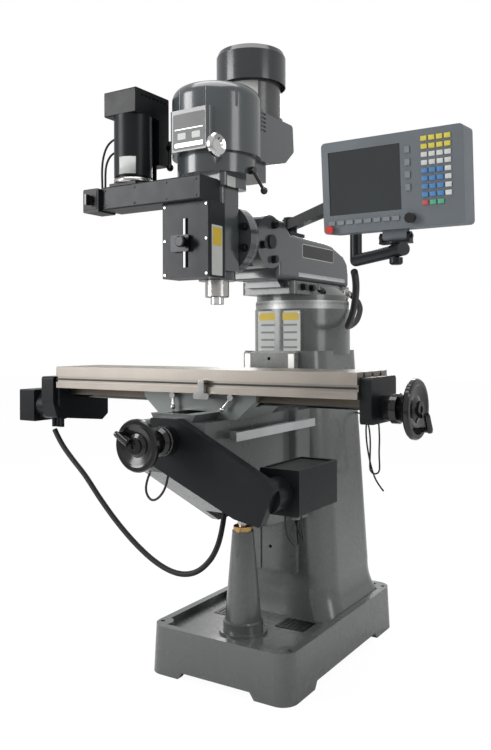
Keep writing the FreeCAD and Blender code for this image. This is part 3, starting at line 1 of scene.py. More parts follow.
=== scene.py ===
# %% [markdown]
# # A knee mill in a small studio
# The machine is a stack of castings that slide and turn on one another. Its shapes come from the CAD
# frame, already in their places. This lesson lights it, gives each casting, cover and ground face its
# finish, and adds what is too fine for the CAD: marks, plates, screws, key caps and cables.

# %% Load the frame
import math

import bmesh
import bpy
from mathutils import Matrix, Vector


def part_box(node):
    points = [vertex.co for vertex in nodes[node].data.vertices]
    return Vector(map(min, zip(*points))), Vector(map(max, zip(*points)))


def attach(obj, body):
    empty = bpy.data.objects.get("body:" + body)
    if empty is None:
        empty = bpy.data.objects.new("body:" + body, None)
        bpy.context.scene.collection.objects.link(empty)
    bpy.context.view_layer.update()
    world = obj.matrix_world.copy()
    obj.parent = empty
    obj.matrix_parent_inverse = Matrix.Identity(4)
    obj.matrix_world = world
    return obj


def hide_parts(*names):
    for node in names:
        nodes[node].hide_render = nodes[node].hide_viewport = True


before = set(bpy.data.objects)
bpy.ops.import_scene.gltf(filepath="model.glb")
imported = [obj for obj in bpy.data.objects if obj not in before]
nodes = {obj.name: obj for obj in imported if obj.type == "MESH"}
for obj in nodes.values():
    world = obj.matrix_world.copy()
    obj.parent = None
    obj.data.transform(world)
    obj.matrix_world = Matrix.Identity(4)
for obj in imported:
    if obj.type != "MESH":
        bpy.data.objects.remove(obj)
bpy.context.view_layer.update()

# %% [markdown]
# ## Camera
# The machine is seen from the front and from its right, at chest height. A camera that looks level keeps
# the column upright, and a small shift frames the machine without tipping the camera.

# %% Set the camera
CAMERA_PLACE = Vector((1.5721, -2.7190, 1.2365))
CAMERA_TURN = math.radians(31.76)
CAMERA_TILT = math.radians(90.05)
CAMERA_ROLL = math.radians(-0.2)
CAMERA_LENS = 37.15
CAMERA_SHIFT = (-0.01357, -0.0466)

camera_data = bpy.data.cameras.new("studio_camera")
camera_data.lens = CAMERA_LENS
camera_data.sensor_width = 36
camera_data.shift_x, camera_data.shift_y = CAMERA_SHIFT
camera = bpy.data.objects.new("studio_camera", camera_data)
bpy.context.scene.collection.objects.link(camera)
turn = Matrix.Rotation(CAMERA_TURN, 4, "Z") @ Matrix.Rotation(CAMERA_TILT, 4, "X")
camera.matrix_world = Matrix.Translation(CAMERA_PLACE) @ turn @ Matrix.Rotation(CAMERA_ROLL, 4, "Z")
bpy.context.scene.camera = camera
print("camera at", tuple(round(c, 3) for c in CAMERA_PLACE), "lens", CAMERA_LENS)

# %% [markdown]
# ## Shader arithmetic
# A finish is a colour, a roughness and a bump that change slowly over the surface. Joining nodes by hand
# hides the sums behind them, so one small class lets a socket take part in ordinary arithmetic, and one
# method adds any other node. The same two classes build the Geometry Nodes trees further down.

# %% A socket that does sums, and a graph that adds nodes
class Wire:
    """The value of a socket, with arithmetic that adds Math nodes."""

    def __init__(self, graph, socket):
        self.graph = graph
        self.socket = socket

    def sum(self, operation, other, swapped=False):
        first, second = (other, self) if swapped else (self, other)
        return self.graph.add(self.graph.math_node, {"operation": operation}, {0: first, 1: second})

    def __add__(self, other):
        return self.sum("ADD", other)

    def __radd__(self, other):
        return self.sum("ADD", other, True)

    def __sub__(self, other):
        return self.sum("SUBTRACT", other)

    def __rsub__(self, other):
        return self.sum("SUBTRACT", other, True)

    def __mul__(self, other):
        return self.sum("MULTIPLY", other)

    def __rmul__(self, other):
        return self.sum("MULTIPLY", other, True)

    def out(self, name):
        return Wire(self.graph, self.socket.node.outputs[name])


class Graph:
    """A node tree, and the one method that adds a node to it."""

    math_node = "ShaderNodeMath"

    def __init__(self, tree):
        self.tree = tree

    def add(self, kind, settings=None, inputs=None):
        node = self.tree.nodes.new(kind)
        for key, value in (settings or {}).items():
            setattr(node, key, value)
        for key, value in (inputs or {}).items():
            self.feed(node.inputs[key], value)
        outputs = [socket for socket in node.outputs if socket.enabled]
        return Wire(self, outputs[0]) if outputs else None

    def feed(self, socket, value):
        if isinstance(value, Wire):
            self.tree.links.new(value.socket, socket)
        else:
            socket.default_value = value


class Finish(Graph):
    """A material with a Principled shader."""

    def __init__(self, name, colour, roughness, metallic=0.0, coat=0.0):
        self.material = bpy.data.materials.new(name)
        self.material.use_nodes = True
        super().__init__(self.material.node_tree)
        self.shader = self.tree.nodes["Principled BSDF"]
        self.set("Base Color", (*colour, 1))
        self.set("Roughness", roughness)
        self.set("Metallic", metallic)
        self.set("Coat Weight", coat)
        self.shader.inputs["Coat Roughness"].default_value = 0.12
        self.material.diffuse_color = (*colour, 1)

    def set(self, name, value):
        self.feed(self.shader.inputs[name], value)

    def place(self):
        """Object coordinates, which are the machine's own."""
        return self.add("ShaderNodeTexCoord").out("Object")

    def grain(self, scale, detail=3.0, stretch=(1, 1, 1)):
        """Cloudy noise between 0 and 1, pulled out along the axes where stretch is small."""
        where = self.add("ShaderNodeMapping", None, {"Vector": self.place(), "Scale": stretch})
        return self.add("ShaderNodeTexNoise", None, {"Vector": where, "Scale": scale, "Detail": detail})

    def between(self, mask, dark, light):
        """A colour that goes from dark to light as mask goes from 0 to 1."""
        return self.add("ShaderNodeMix", {"data_type": "RGBA"}, {0: mask, 6: (*dark, 1), 7: (*light, 1)})

    def bump(self, height, strength, distance):
        self.set("Normal", self.add("ShaderNodeBump", None,
                                    {"Height": height, "Strength": strength, "Distance": distance}))


def shade(colour, amount):
    return tuple(min(1.0, channel * amount) for channel in colour)


print("shader helpers ready")

# %% [markdown]
# ## Light, floor and background
# Glossy paint and bright steel show what is around them, so the machine stands between two large soft
# panels and under a third, as in a product studio. The world is pale for the same reason. The camera sees
# it as plain white, gloss sees it darker, and it adds only a weak even light to the painted castings.

# %% Hang the lamps
def soft_lamp(name, place, aim, size, power):
    data = bpy.data.lights.new(name, "AREA")
    data.shape = "RECTANGLE"
    data.size, data.size_y = size
    data.energy = power
    lamp = bpy.data.objects.new(name, data)
    bpy.context.scene.collection.objects.link(lamp)
    lamp.location = place
    lamp.rotation_euler = (Vector(aim) - Vector(place)).to_track_quat("-Z", "Y").to_euler()
    return lamp


soft_lamp("left_panel", (-2.6, -3.4, 2.4), (0, -0.2, 1.2), (1.6, 2.6), 105)
soft_lamp("right_panel", (3.6, -0.9, 2.2), (0.1, 0, 1.3), (1.2, 2.4), 30)
soft_lamp("top_panel", (0.0, -0.6, 4.2), (0, -0.1, 1.0), (2.6, 2.2), 62)
soft_lamp("back_panel", (-1.6, 3.2, 2.6), (0, 0.2, 1.3), (1.6, 1.6), 45)

# %% Whiten the world and lay the floor
world = bpy.data.worlds.new("studio_world")
bpy.context.scene.world = world
world.use_nodes = True
sky = Graph(world.node_tree)
background = world.node_tree.nodes["Background"]
path = sky.add("ShaderNodeLightPath")
seen = sky.add("ShaderNodeMath", {"operation": "MAXIMUM"},
               {0: path.out("Is Camera Ray"), 1: path.out("Is Transmission Ray")})
SKY_LIGHT = 0.36      # on painted faces
SKY_GLOSS = 0.26      # more than that in polished ones
sky.feed(background.inputs["Strength"], SKY_LIGHT + seen * (1 - SKY_LIGHT) + path.out("Is Glossy Ray")
         * SKY_GLOSS)
background.inputs["Color"].default_value = (1, 1, 1, 1)

floor_finish = Finish("studio_floor", (0.86, 0.86, 0.86), 0.7)
FLOOR_GLOW = 1.06
GLOW_SHARE = 0.9
FLOOR_SIZE = 40
FLOOR_DROP = 0.0005   # below the base, so that the faces don't flicker
glow = floor_finish.add("ShaderNodeEmission", None, {"Strength": FLOOR_GLOW})
ray = floor_finish.add("ShaderNodeLightPath")
shown = floor_finish.add("ShaderNodeMixShader", None,
                         {0: ray.out("Is Camera Ray") * GLOW_SHARE,
                          1: Wire(floor_finish, floor_finish.shader.outputs[0]), 2: glow})
floor_finish.feed(floor_finish.tree.nodes["Material Output"].inputs["Surface"], shown)
bpy.ops.mesh.primitive_plane_add(size=FLOOR_SIZE, location=(0, 0, -FLOOR_DROP))
floor = bpy.context.object
floor.name = "studio_floor"
floor.data.materials.append(floor_finish.material)

# %% [markdown]
# ## Painted castings
# The castings wear a thick grey machine enamel. It isn't smooth: filler and brushed coats leave a fine
# orange peel, the colour drifts a little from coat to coat, and the gloss is uneven where hands and oil
# have been. One recipe makes them all, with the colour, the gloss and the depth of the peel as inputs.

# %% Mix the paints
def enamel(name, colour, roughness=0.32, coat=0.35, peel=0.25):
    finish = Finish(name, colour, roughness, 0.0, coat)
    drift = finish.grain(2.3, 2.0)
    finish.set("Base Color", finish.between(drift, shade(colour, 0.86), shade(colour, 1.14)))
    patches = finish.grain(14.0, 4.0)
    finish.set("Roughness", patches * 0.18 + (roughness - 0.09))
    height = finish.grain(230.0, 2.0) * 0.6 + finish.grain(34.0, 3.0) * 0.4
    finish.bump(height, peel, 0.0009)
    return finish.material


def crinkle(name, colour, roughness=0.5, height=0.35):
    """Powder coat, with a close even texture."""
    finish = Finish(name, colour, roughness)
    finish.set("Specular IOR Level", 0.22)
    cloud = finish.grain(5.0, 2.0)
    finish.set("Base Color", finish.between(cloud, shade(colour, 0.8), shade(colour, 1.25)))
    finish.set("Roughness", finish.grain(24.0, 3.0) * 0.16 + (roughness - 0.08))
    finish.bump(finish.grain(620.0, 2.0), height, 0.0005)
    return finish.material


grey_enamel = enamel("grey_enamel", (0.105, 0.113, 0.108), 0.27, 0.5)
knee_enamel = enamel("knee_enamel", (0.098, 0.108, 0.106), 0.25, 0.55)
saddle_enamel = enamel("saddle_enamel", (0.20, 0.225, 0.217), 0.36, 0.25)
head_enamel = enamel("head_enamel", (0.062, 0.071, 0.076), 0.22, 0.65, 0.18)
motor_enamel = enamel("motor_enamel", (0.062, 0.064, 0.062), 0.28, 0.35, 0.15)
cap_enamel = enamel("cap_enamel", (0.02, 0.022, 0.026), 0.25, 0.5, 0.1)
black_coat = crinkle("black_coat", (0.0085, 0.0095, 0.0115), 0.34, 0.16)
cover_coat = crinkle("cover_coat", (0.0125, 0.0145, 0.018), 0.32, 0.10)
panel_coat = crinkle("panel_coat", (0.155, 0.172, 0.188), 0.46, 0.25)
print("paints mixed")

# %% [markdown]
# ## Metals
# A ground way shows fine straight lines from the wheel, so its noise is stretched along the stroke. Turned
# and plated parts carry faint smudges, and black oxide is nearly as dark as paint but reflects like metal.
# Each recipe changes only roughness, colour and bump.

# %% Cut the metals
def ground(name, colour, stroke, roughness=0.3):
    """Ground steel; stroke is the direction in which the wheel ran, 0 for x, 1 for y, 2 for z."""
    finish = Finish(name, colour, roughness, 1.0)
    stretch = [1.0, 1.0, 1.0]
    stretch[stroke] = 0.02
    lines = finish.grain(420.0, 3.0, stretch)
    oil = finish.grain(7.0, 4.0)
    finish.set("Base Color", finish.between(oil, shade(colour, 0.78), shade(colour, 1.12)))
    finish.set("Roughness", lines * 0.22 + oil * 0.12 + (roughness - 0.16))
    finish.bump(lines, 0.12, 0.0002)
    return finish.material


def bright(name, colour, roughness=0.14):
    """Turned or plated metal with faint smudges."""
    finish = Finish(name, colour, roughness, 1.0)
    smudge = finish.grain(30.0, 4.0)
    finish.set("Base Color", finish.between(smudge, shade(colour, 0.85), colour))
    finish.set("Roughness", smudge * 0.16 + (roughness - 0.06))
    finish.bump(finish.grain(500.0, 2.0), 0.05, 0.0002)
    return finish.material


table_steel = ground("table_steel", (0.30, 0.275, 0.245), 0, 0.36)
way_steel = ground("way_steel", (0.5, 0.49, 0.47), 1, 0.34)
ring_steel = ground("ring_steel", (0.40, 0.41, 0.40), 2, 0.42)
rule_aluminium = ground("rule_aluminium", (0.72, 0.73, 0.74), 1, 0.35)
chrome = bright("chrome", (0.78, 0.78, 0.77), 0.1)
turned_steel = bright("turned_steel", (0.55, 0.54, 0.52), 0.24)
black_oxide = bright("black_oxide", (0.045, 0.045, 0.048), 0.32)
nut_bronze = bright("nut_bronze", (0.52, 0.33, 0.13), 0.26)
print("metals cut")

# %% [markdown]
# ## Plastics, rubber, glass and printed plates
# Knobs are glossy moulded resin, cable sheaths are dull rubber, and the screen is dark glass over a
# liquid-crystal panel that is off, so it mirrors the room. Plates are thin metal or film, with no
# lettering printed on them.

# %% Mould the plastics
def moulded(name, colour, roughness=0.35, grain_height=0.15, coat=0.0):
    finish = Finish(name, colour, roughness, 0.0, coat)
    finish.set("Specular IOR Level", 0.35)
    cloud = finish.grain(18.0, 3.0)
    finish.set("Base Color", finish.between(cloud, shade(colour, 0.9), shade(colour, 1.08)))
    finish.set("Roughness", cloud * 0.14 + (roughness - 0.07))
    finish.bump(finish.grain(900.0, 1.0), grain_height, 0.0003)
    return finish.material


knob_resin = moulded("knob_resin", (0.006, 0.006, 0.007), 0.14, 0.03, 0.5)
sheath_rubber = moulded("sheath_rubber", (0.014, 0.014, 0.015), 0.5, 0.3)
red_resin = moulded("red_resin", (0.62, 0.035, 0.03), 0.25, 0.05, 0.4)
white_key = moulded("white_key", (0.68, 0.69, 0.67), 0.4, 0.1)
yellow_key = moulded("yellow_key", (0.72, 0.62, 0.10), 0.4, 0.1)
blue_key = moulded("blue_key", (0.09, 0.25, 0.52), 0.4, 0.1)
red_key = moulded("red_key", (0.55, 0.10, 0.10), 0.4, 0.1)
green_key = moulded("green_key", (0.10, 0.42, 0.25), 0.4, 0.1)
grey_key = moulded("grey_key", (0.22, 0.245, 0.265), 0.45, 0.1)
plate_white = moulded("plate_white", (0.60, 0.61, 0.59), 0.42, 0.04)
plate_yellow = moulded("plate_yellow", (0.70, 0.50, 0.05), 0.42, 0.04)
plate_black = moulded("plate_black", (0.018, 0.018, 0.02), 0.3, 0.04, 0.2)

glass = Finish("screen_glass", (0.012, 0.016, 0.019), 0.06, 0.0, 0.6)
haze = glass.grain(6.0, 3.0)
glass.set("Base Color", glass.between(haze, (0.008, 0.011, 0.013), (0.022, 0.028, 0.032)))
glass.set("Roughness", haze * 0.07 + 0.03)
glass.bump(glass.grain(60.0, 2.0), 0.02, 0.0002)
screen_glass = glass.material
print("plastics moulded")

# %% [markdown]
# ## Finishes on the CAD pieces
# The frame's castings and covers already have the right shapes. Each only needs its finish, so a table
# of finishes is walked once, and every slot of a piece gets the new material.

# %% Dress the frame
DRESS = {
    grey_enamel: ["column_base", "elevating_pedestal", "turret"],
    head_enamel: ["ram", "ram_adapter", "head_casting", "belt_housing", "gear_housing"],
    knee_enamel: ["knee"],
    saddle_enamel: ["saddle"],
    motor_enamel: ["drive_motor"],
    cap_enamel: ["motor_cap"],
    black_coat: ["y_drive_housing", "y_motor", "x_drive_housing", "x_motor", "table_brackets",
                 "motor_control_box", "selector_box", "quill_motor"],
    cover_coat: ["quill_drive_cover", "drive_beam", "support_arm", "panel_bracket", "arm_clamp"],
    panel_coat: ["panel_housing"],
    table_steel: ["table"],
    ring_steel: ["turret_degree_ring"],
    turned_steel: ["quill", "elevating_screw", "ram_pinion"],
    chrome: ["spindle", "left_table_lock", "right_table_lock", "table_stop", "speed_wheel"],
    black_oxide: ["turret_bolts", "nod_bolts", "tilt_bolts", "quill_tab", "drain_screens"],
    nut_bronze: ["elevating_nut"],
    rule_aluminium: ["y_scale"],
    knob_resin: ["selector_knob", "jog_knob", "x_screw", "y_wheel", "brake_lever", "range_lever"],
    screen_glass: ["panel_screen"],
    red_resin: ["stop_button"],
    grey_key: ["soft_keys"],
    white_key: ["keypad_keys"],
    sheath_rubber: ["x_cable", "panel_loom", "head_cables", "knee_cables", "power_cord"],
}


def dress(node, material):
    mesh_object = nodes[node]
    if not mesh_object.material_slots:
        mesh_object.data.materials.append(material)
    for slot in mesh_object.material_slots:
        slot.material = material


for material, names in DRESS.items():
    for name in names:
        dress(name, material)
print("dressed", sum(len(names) for names in DRESS.values()), "of", len(nodes))

# %% [markdown]
# ## Cables
# A cable hangs in one smooth line. Each is a NURBS curve through the space that the CAD tube takes, and
# a round bevel gives it its thickness. The order is set after the points, because a new spline is too
# short for it. Each cable rides on one body, and its number of points and its given length are printed.

# %% Lay the cables
drive_cable_route = [
    (-0.69, -0.56, 0.893), (-0.664, -0.558, 0.847), (-0.603, -0.555, 0.785), (-0.538, -0.552, 0.729),
    (-0.465, -0.548, 0.644), (-0.378, -0.545, 0.559), (-0.285, -0.542, 0.486), (-0.195, -0.538, 0.433),
    (-0.109, -0.532, 0.408), (-0.039, -0.52, 0.42), (0.007, -0.5, 0.464), (0.02, -0.47, 0.511),
    (0.011, -0.428, 0.565), (-0.004, -0.392, 0.6132),
]
panel_loom_route = [
    (0.541, -0.455, 1.455), (0.53, -0.42, 1.439), (0.5, -0.35, 1.405), (0.455, -0.262, 1.365),
    (0.4, -0.165, 1.325), (0.34, -0.065, 1.3), (0.285, 0.04, 1.29), (0.256, 0.13, 1.294),
    (0.25, 0.2, 1.312), (0.238, 0.258, 1.342), (0.222, 0.308, 1.378), (0.184, 0.344, 1.418),
    (0.1312, 0.362, 1.448),
]
long_head_route = [
    (-0.3282, -0.59, 1.975), (-0.352, -0.591, 1.972), (-0.382, -0.595, 1.95), (-0.396, -0.6, 1.906),
    (-0.397, -0.604, 1.86), (-0.393, -0.607, 1.818), (-0.39, -0.609, 1.7828),
]
short_head_route = [
    (-0.3282, -0.59, 1.925), (-0.348, -0.593, 1.923), (-0.366, -0.6, 1.905), (-0.373, -0.608, 1.876),
    (-0.371, -0.614, 1.843), (-0.367, -0.618, 1.812), (-0.366, -0.62, 1.7828),
]
outer_knee_route = [
    (0.312, -0.5, 0.6892), (0.31, -0.498, 0.66), (0.305, -0.49, 0.624), (0.3, -0.47, 0.588),
    (0.295, -0.432, 0.556), (0.283, -0.382, 0.53), (0.262, -0.327, 0.515), (0.233, -0.27, 0.508),
    (0.2, -0.214, 0.508), (0.173, -0.166, 0.517), (0.152, -0.13, 0.532), (0.142, -0.11, 0.548),
]
inner_knee_route = [
    (0.352, -0.47, 0.6892), (0.352, -0.466, 0.658), (0.347, -0.453, 0.62), (0.335, -0.426, 0.584),
    (0.316, -0.385, 0.556), (0.29, -0.336, 0.537), (0.256, -0.284, 0.528), (0.22, -0.234, 0.528),
    (0.188, -0.19, 0.532), (0.162, -0.152, 0.539), (0.146, -0.13, 0.547),
]
dial_lead_route = [
    (-0.105, -0.69, 0.7919), (-0.114, -0.698, 0.764), (-0.11, -0.706, 0.726), (-0.078, -0.713, 0.703),
    (-0.04, -0.717, 0.722), (-0.012, -0.718, 0.762), (-0.005, -0.718, 0.798),
]
supply_route = [
    (0.2008, 0.3, 0.93), (0.221, 0.3, 0.929), (0.242, 0.3, 0.918), (0.256, 0.3, 0.896),
    (0.264, 0.301, 0.862), (0.268, 0.301, 0.812), (0.267, 0.3, 0.758), (0.266, 0.299, 0.722),
    (0.2666, 0.298, 0.6944), (0.2755, 0.296, 0.6821), (0.29, 0.294, 0.6774), (0.3045, 0.292, 0.6821),
    (0.3134, 0.29, 0.6944), (0.314, 0.289, 0.722), (0.312, 0.288, 0.766), (0.315, 0.287, 0.822),
    (0.314, 0.286, 0.864), (0.3134, 0.284, 0.8916), (0.3045, 0.28, 0.9039), (0.29, 0.275, 0.9086),
    (0.2755, 0.269, 0.9039), (0.2666, 0.264, 0.8916), (0.265, 0.262, 0.864), (0.269, 0.259, 0.814),
    (0.28, 0.256, 0.756), (0.296, 0.252, 0.7), (0.318, 0.248, 0.652), (0.35, 0.244, 0.62),
]


def lay_cable(name, route, diameter, length, body, node):
    data = bpy.data.curves.new(name, "CURVE")
    data.dimensions = "3D"
    data.bevel_depth = diameter / 2
    data.bevel_resolution = 5
    data.resolution_u = 10
    data.use_fill_caps = True
    spline = data.splines.new("NURBS")
    spline.points.add(len(route) - 1)
    for point, place in zip(spline.points, route):
        point.co = (*place, 1)
    spline.order_u = 3
    spline.use_endpoint_u = True
    cable = bpy.data.objects.new(name, data)
    bpy.context.scene.collection.objects.link(cable)
    cable.data.materials.append(sheath_rubber)
    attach(cable, body)
    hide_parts(node)
    print(name, "points", len(route), "length", length)
    return cable


lay_cable("drive_cable", drive_cable_route, 0.020, 1.09, "knee", "x_cable")
lay_cable("panel_cable", panel_loom_route, 0.024, 1.01, "turret", "panel_loom")
lay_cable("long_head_lead", long_head_route, 0.008, 0.23, "head", "head_cables")
lay_cable("short_head_lead", short_head_route, 0.008, 0.17, "head", "head_cables")
lay_cable("outer_knee_lead", outer_knee_route, 0.008, 0.53, "knee", "knee_cables")
lay_cable("inner_knee_lead", inner_knee_route, 0.008, 0.48, "knee", "knee_cables")
lay_cable("dial_lead", dial_lead_route, 0.008, 0.23, "knee", "knee_cables")
lay_cable("supply_cord", supply_route, 0.007, 0.88, "frame", "power_cord")
# %% [markdown]
# ## Thin plates
# A label is a thin sheet of metal or film with round corners, glued or screwed to a face. It is built in
# its own plane from two directions on the face, so one function serves every side of the machine. On a
# motor the sheet wraps round the shell, so a second function bends it.

# %% Make flat and wrapped plates
RIGHTWARD, BACKWARD, UPWARD = (1, 0, 0), (0, 1, 0), (0, 0, 1)


def keep_piece(name, mesh, body, material=None, smooth=False):
    piece = bpy.data.objects.new(name, mesh)
    bpy.context.scene.collection.objects.link(piece)
    if material:
        mesh.materials.append(material)
    for polygon in mesh.polygons:
        polygon.use_smooth = smooth
    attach(piece, body)
    return piece


def round_corners(width, height, radius, steps=6):
    outline = []
    for quarter, (side_x, side_y) in enumerate(((1, 1), (-1, 1), (-1, -1), (1, -1))):
        for step in range(steps + 1):
            angle = math.radians(90 * (quarter + step / steps))
            outline.append((side_x * (width / 2 - radius) + radius * math.cos(angle),
                            side_y * (height / 2 - radius) + radius * math.sin(angle)))
    return outline


def stack_rings(name, rings):
    """Join closed rings of points, first to last, and cap both ends."""
    work = bmesh.new()
    rows = [[work.verts.new(point) for point in ring] for ring in rings]
    for low, high in zip(rows, rows[1:]):
        for i in range(len(low)):
            j = (i + 1) % len(low)
            work.faces.new((low[i], low[j], high[j], high[i]))
    work.faces.new(rows[-1])
    work.faces.new(rows[0][::-1])
    bmesh.ops.recalc_face_normals(work, faces=work.faces)
    mesh = bpy.data.meshes.new(name)
    work.to_mesh(mesh)
    work.free()
    return mesh


def flat_plate(name, size, centre, right, up, material, body, radius=0.003, thickness=0.0008, edge=0.0003):
    right, up, centre = Vector(right).normalized(), Vector(up).normalized(), Vector(centre)
    out = right.cross(up)
    rings = []
    for height, inset in ((0, 0), (thickness - edge, 0), (thickness, edge)):
        outline = round_corners(size[0] - 2 * inset, size[1] - 2 * inset, radius - inset)
        rings.append([centre + out * height + right * x + up * y for x, y in outline])
    return keep_piece(name, stack_rings(name, rings), body, material)


def wrapped_plate(name, axis_at, radius, middle, half, low, high, material, body, thickness=0.0008,
                  steps=24):
    """A plate bent round an upright cylinder; middle and half are degrees seen from above."""
    outline = []
    for height, sweep in ((low, 1), (high, -1)):
        for step in range(steps + 1):
            outline.append((middle + sweep * half * (2 * step / steps - 1), height))
    rings = []
    for reach in (radius, radius + thickness):
        rings.append([(axis_at[0] + reach * math.cos(math.radians(angle)),
                       axis_at[1] + reach * math.sin(math.radians(angle)), z) for angle, z in outline])
    work = bmesh.new()
    rows = [[work.verts.new(point) for point in ring] for ring in rings]
    count = len(outline)
    for i in range(count):
        work.faces.new((rows[0][i], rows[0][(i + 1) % count], rows[1][(i + 1) % count], rows[1][i]))
    for row in rows:
        for i in range(steps):
            work.faces.new((row[i], row[i + 1], row[count - 2 - i], row[count - 1 - i]))
    bmesh.ops.recalc_face_normals(work, faces=work.faces)
    mesh = bpy.data.meshes.new(name)
    work.to_mesh(mesh)
    work.free()
    return keep_piece(name, mesh, body, material, True)


def face_at(node, side):
    """Where one side of a node's box lies, such as its x+ side."""
    low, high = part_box(node)
    return (high if side[1] == "+" else low)["xyz".index(side[0])]


def touch(node, start, direction):
    """The point where a straight line from start first meets a node."""
    found, place, *_ = nodes[node].ray_cast(Vector(start), Vector(direction))
    assert found, (node, start)
    return place


print("plate makers ready")

# %% [markdown]
# ## Labels
# The machine carries a nameplate along the ram, a placard on its neck, a badge on the nose of the belt
# housing and small labels on the motors. On the real machine they are printed. Here all of them are left
# blank: a border and empty fields are enough for them to read as labels.

# %% Fix the labels
RAM_SIDE = face_at("ram", "x+")
COVER_SIDE = face_at("quill_drive_cover", "x+")
NOSE_FRONT = face_at("belt_housing", "y-")
FILM = 0.0004

flat_plate("ram_nameplate", (0.278, 0.056), (RAM_SIDE, 0.125, 1.593), BACKWARD, UPWARD, plate_white,
           "ram", 0.008)
flat_plate("ram_nameplate_field", (0.272, 0.050), (RAM_SIDE + 0.0008, 0.125, 1.593), BACKWARD, UPWARD,
           plate_black, "ram", 0.005, FILM, 0.0001)
flat_plate("nose_badge", (0.134, 0.122), (0, NOSE_FRONT + 0.0006, 1.950), RIGHTWARD, UPWARD,
           plate_black, "head", 0.006)
flat_plate("badge_line", (0.118, 0.003), (0, NOSE_FRONT - 0.0002, 1.958), RIGHTWARD, UPWARD, rule_aluminium,
           "head", 0.001, FILM, 0.0001)
flat_plate("badge_left_window", (0.034, 0.022), (-0.030, NOSE_FRONT - 0.0002, 1.934), RIGHTWARD, UPWARD,
           plate_white, "head", 0.003, FILM, 0.0001)
flat_plate("badge_right_window", (0.034, 0.022), (0.030, NOSE_FRONT - 0.0002, 1.934), RIGHTWARD, UPWARD,
           plate_white, "head", 0.003, FILM, 0.0001)
flat_plate("badge_strip", (0.118, 0.014), (0, NOSE_FRONT - 0.0002, 1.904), RIGHTWARD, UPWARD,
           rule_aluminium, "head", 0.003, FILM, 0.0001)
flat_plate("cover_side_label", (0.062, 0.168), (COVER_SIDE, -0.583, 1.540), BACKWARD, UPWARD,
           plate_white, "head")
flat_plate("cover_side_field", (0.052, 0.060), (COVER_SIDE + 0.0008, -0.583, 1.586), BACKWARD, UPWARD,
           plate_yellow, "head", 0.003, FILM, 0.0001)
head_side = touch("head_casting", (0.5, -0.497, 1.785), (-1, 0, 0))
flat_plate("head_side_label", (0.052, 0.036), (head_side.x, -0.497, 1.785), BACKWARD, UPWARD,
           plate_white, "head")
neck_front = touch("column_base", (0.05, -0.5, 1.27), (0, 1, 0))
flat_plate("neck_placard", (0.196, 0.164), (0, neck_front.y, 1.274), RIGHTWARD, UPWARD, plate_white,
           "frame", 0.004)
flat_plate("neck_placard_band", (0.184, 0.030), (0, neck_front.y - 0.0008, 1.334), RIGHTWARD, UPWARD,
           plate_yellow, "frame", 0.003, FILM, 0.0001)
for index in range(4):
    row = neck_front.y - 0.0008, 1.300 - 0.030 * index
    flat_plate(f"neck_placard_row_{index}", (0.168, 0.008), (0, *row), RIGHTWARD, UPWARD, grey_key,
               "frame", 0.002, FILM, 0.0001)
wrapped_plate("motor_label", (0, -0.206), 0.112, -79, 34, 2.126, 2.198, plate_white, "head")
wrapped_plate("quill_motor_label", (-0.259, -0.590), 0.068, -68, 26, 1.824, 1.884, plate_white, "head")
wrapped_plate("quill_motor_band", (-0.259, -0.590), 0.068, -90, 179, 1.796, 1.812, turned_steel, "head")
WAY_FRONT = touch("column_base", (0.1, -0.5, 1.11), (0, 1, 0)).y
TABLE_FRONT = face_at("table", "y-")
TABLE_LENGTH = face_at("table", "x+") - face_at("table", "x-")
# Painted shade: a thin black strip on the table's front stands for the shade in its front groove, which is
# not cut.
flat_plate("table_front_slot", (TABLE_LENGTH - 0.004, 0.006), (0, TABLE_FRONT, 1.094), RIGHTWARD,
           UPWARD, plate_black, "table", 0.001, FILM, 0.0001)
for side in (-1, 1):
    flat_plate(f"way_strip_{side + 1}", (0.026, 0.150), (side * 0.100, WAY_FRONT, 1.110), RIGHTWARD, UPWARD,
               way_steel, "frame", 0.002)
print("labels fixed; nose front at", round(NOSE_FRONT, 4), "ram side at", round(RAM_SIDE, 4))

# %% [markdown]
# ## Repeats with Geometry Nodes
# Graduations and screws are many copies of one small shape at regular or chosen places. That is what
# Geometry Nodes are for. Each tree has named inputs, makes its instances, realizes them and sets their
# material, and its result is then kept as a plain mesh that rides on one body.

# %% A tree that ends in a plain mesh
class Repeat(Graph):
    """A Geometry Nodes tree with named inputs, and the plain piece that it makes."""

    def __init__(self, name, inputs):
        super().__init__(bpy.data.node_groups.new(name, "GeometryNodeTree"))
        self.name = name
        self.inputs = inputs
        self.tree.interface.new_socket(name="Geometry", in_out="OUTPUT", socket_type="NodeSocketGeometry")
        for key, (kind, value) in inputs.items():
            self.tree.interface.new_socket(name=key, in_out="INPUT", socket_type="NodeSocket" + kind)
        self.source = self.tree.nodes.new("NodeGroupInput")
        self.result = self.tree.nodes.new("NodeGroupOutput")

    def given(self, name):
        return Wire(self, self.source.outputs[name])

    def vector(self, x=0.0, y=0.0, z=0.0):
        return self.add("ShaderNodeCombineXYZ", None, {"X": x, "Y": y, "Z": z})

    def keep(self, geometry, material, body, slot, places=()):
        whole = self.add("GeometryNodeRealizeInstances", None, {"Geometry": geometry})
        coated = self.add("GeometryNodeSetMaterial", None, {"Geometry": whole, "Material": material})
        self.feed(self.result.inputs["Geometry"], coated)
        points = bpy.data.meshes.new(self.name + "_places")
        points.from_pydata(places, [], [])
        carrier = bpy.data.objects.new(self.name + "_carrier", points)
        bpy.context.scene.collection.objects.link(carrier)
        modifier = carrier.modifiers.new("repeat", "NODES")
        modifier.node_group = self.tree
        for item in self.tree.interface.items_tree:
            if item.in_out == "INPUT" and self.inputs[item.name][1] is not None:
                modifier[item.identifier] = self.inputs[item.name][1]
        graph = bpy.context.evaluated_depsgraph_get()
        mesh = bpy.data.meshes.new_from_object(carrier.evaluated_get(graph))
        bpy.data.objects.remove(carrier)
        print(self.name, "has", len(mesh.polygons), "faces")
        return keep_piece(self.name, mesh, body)


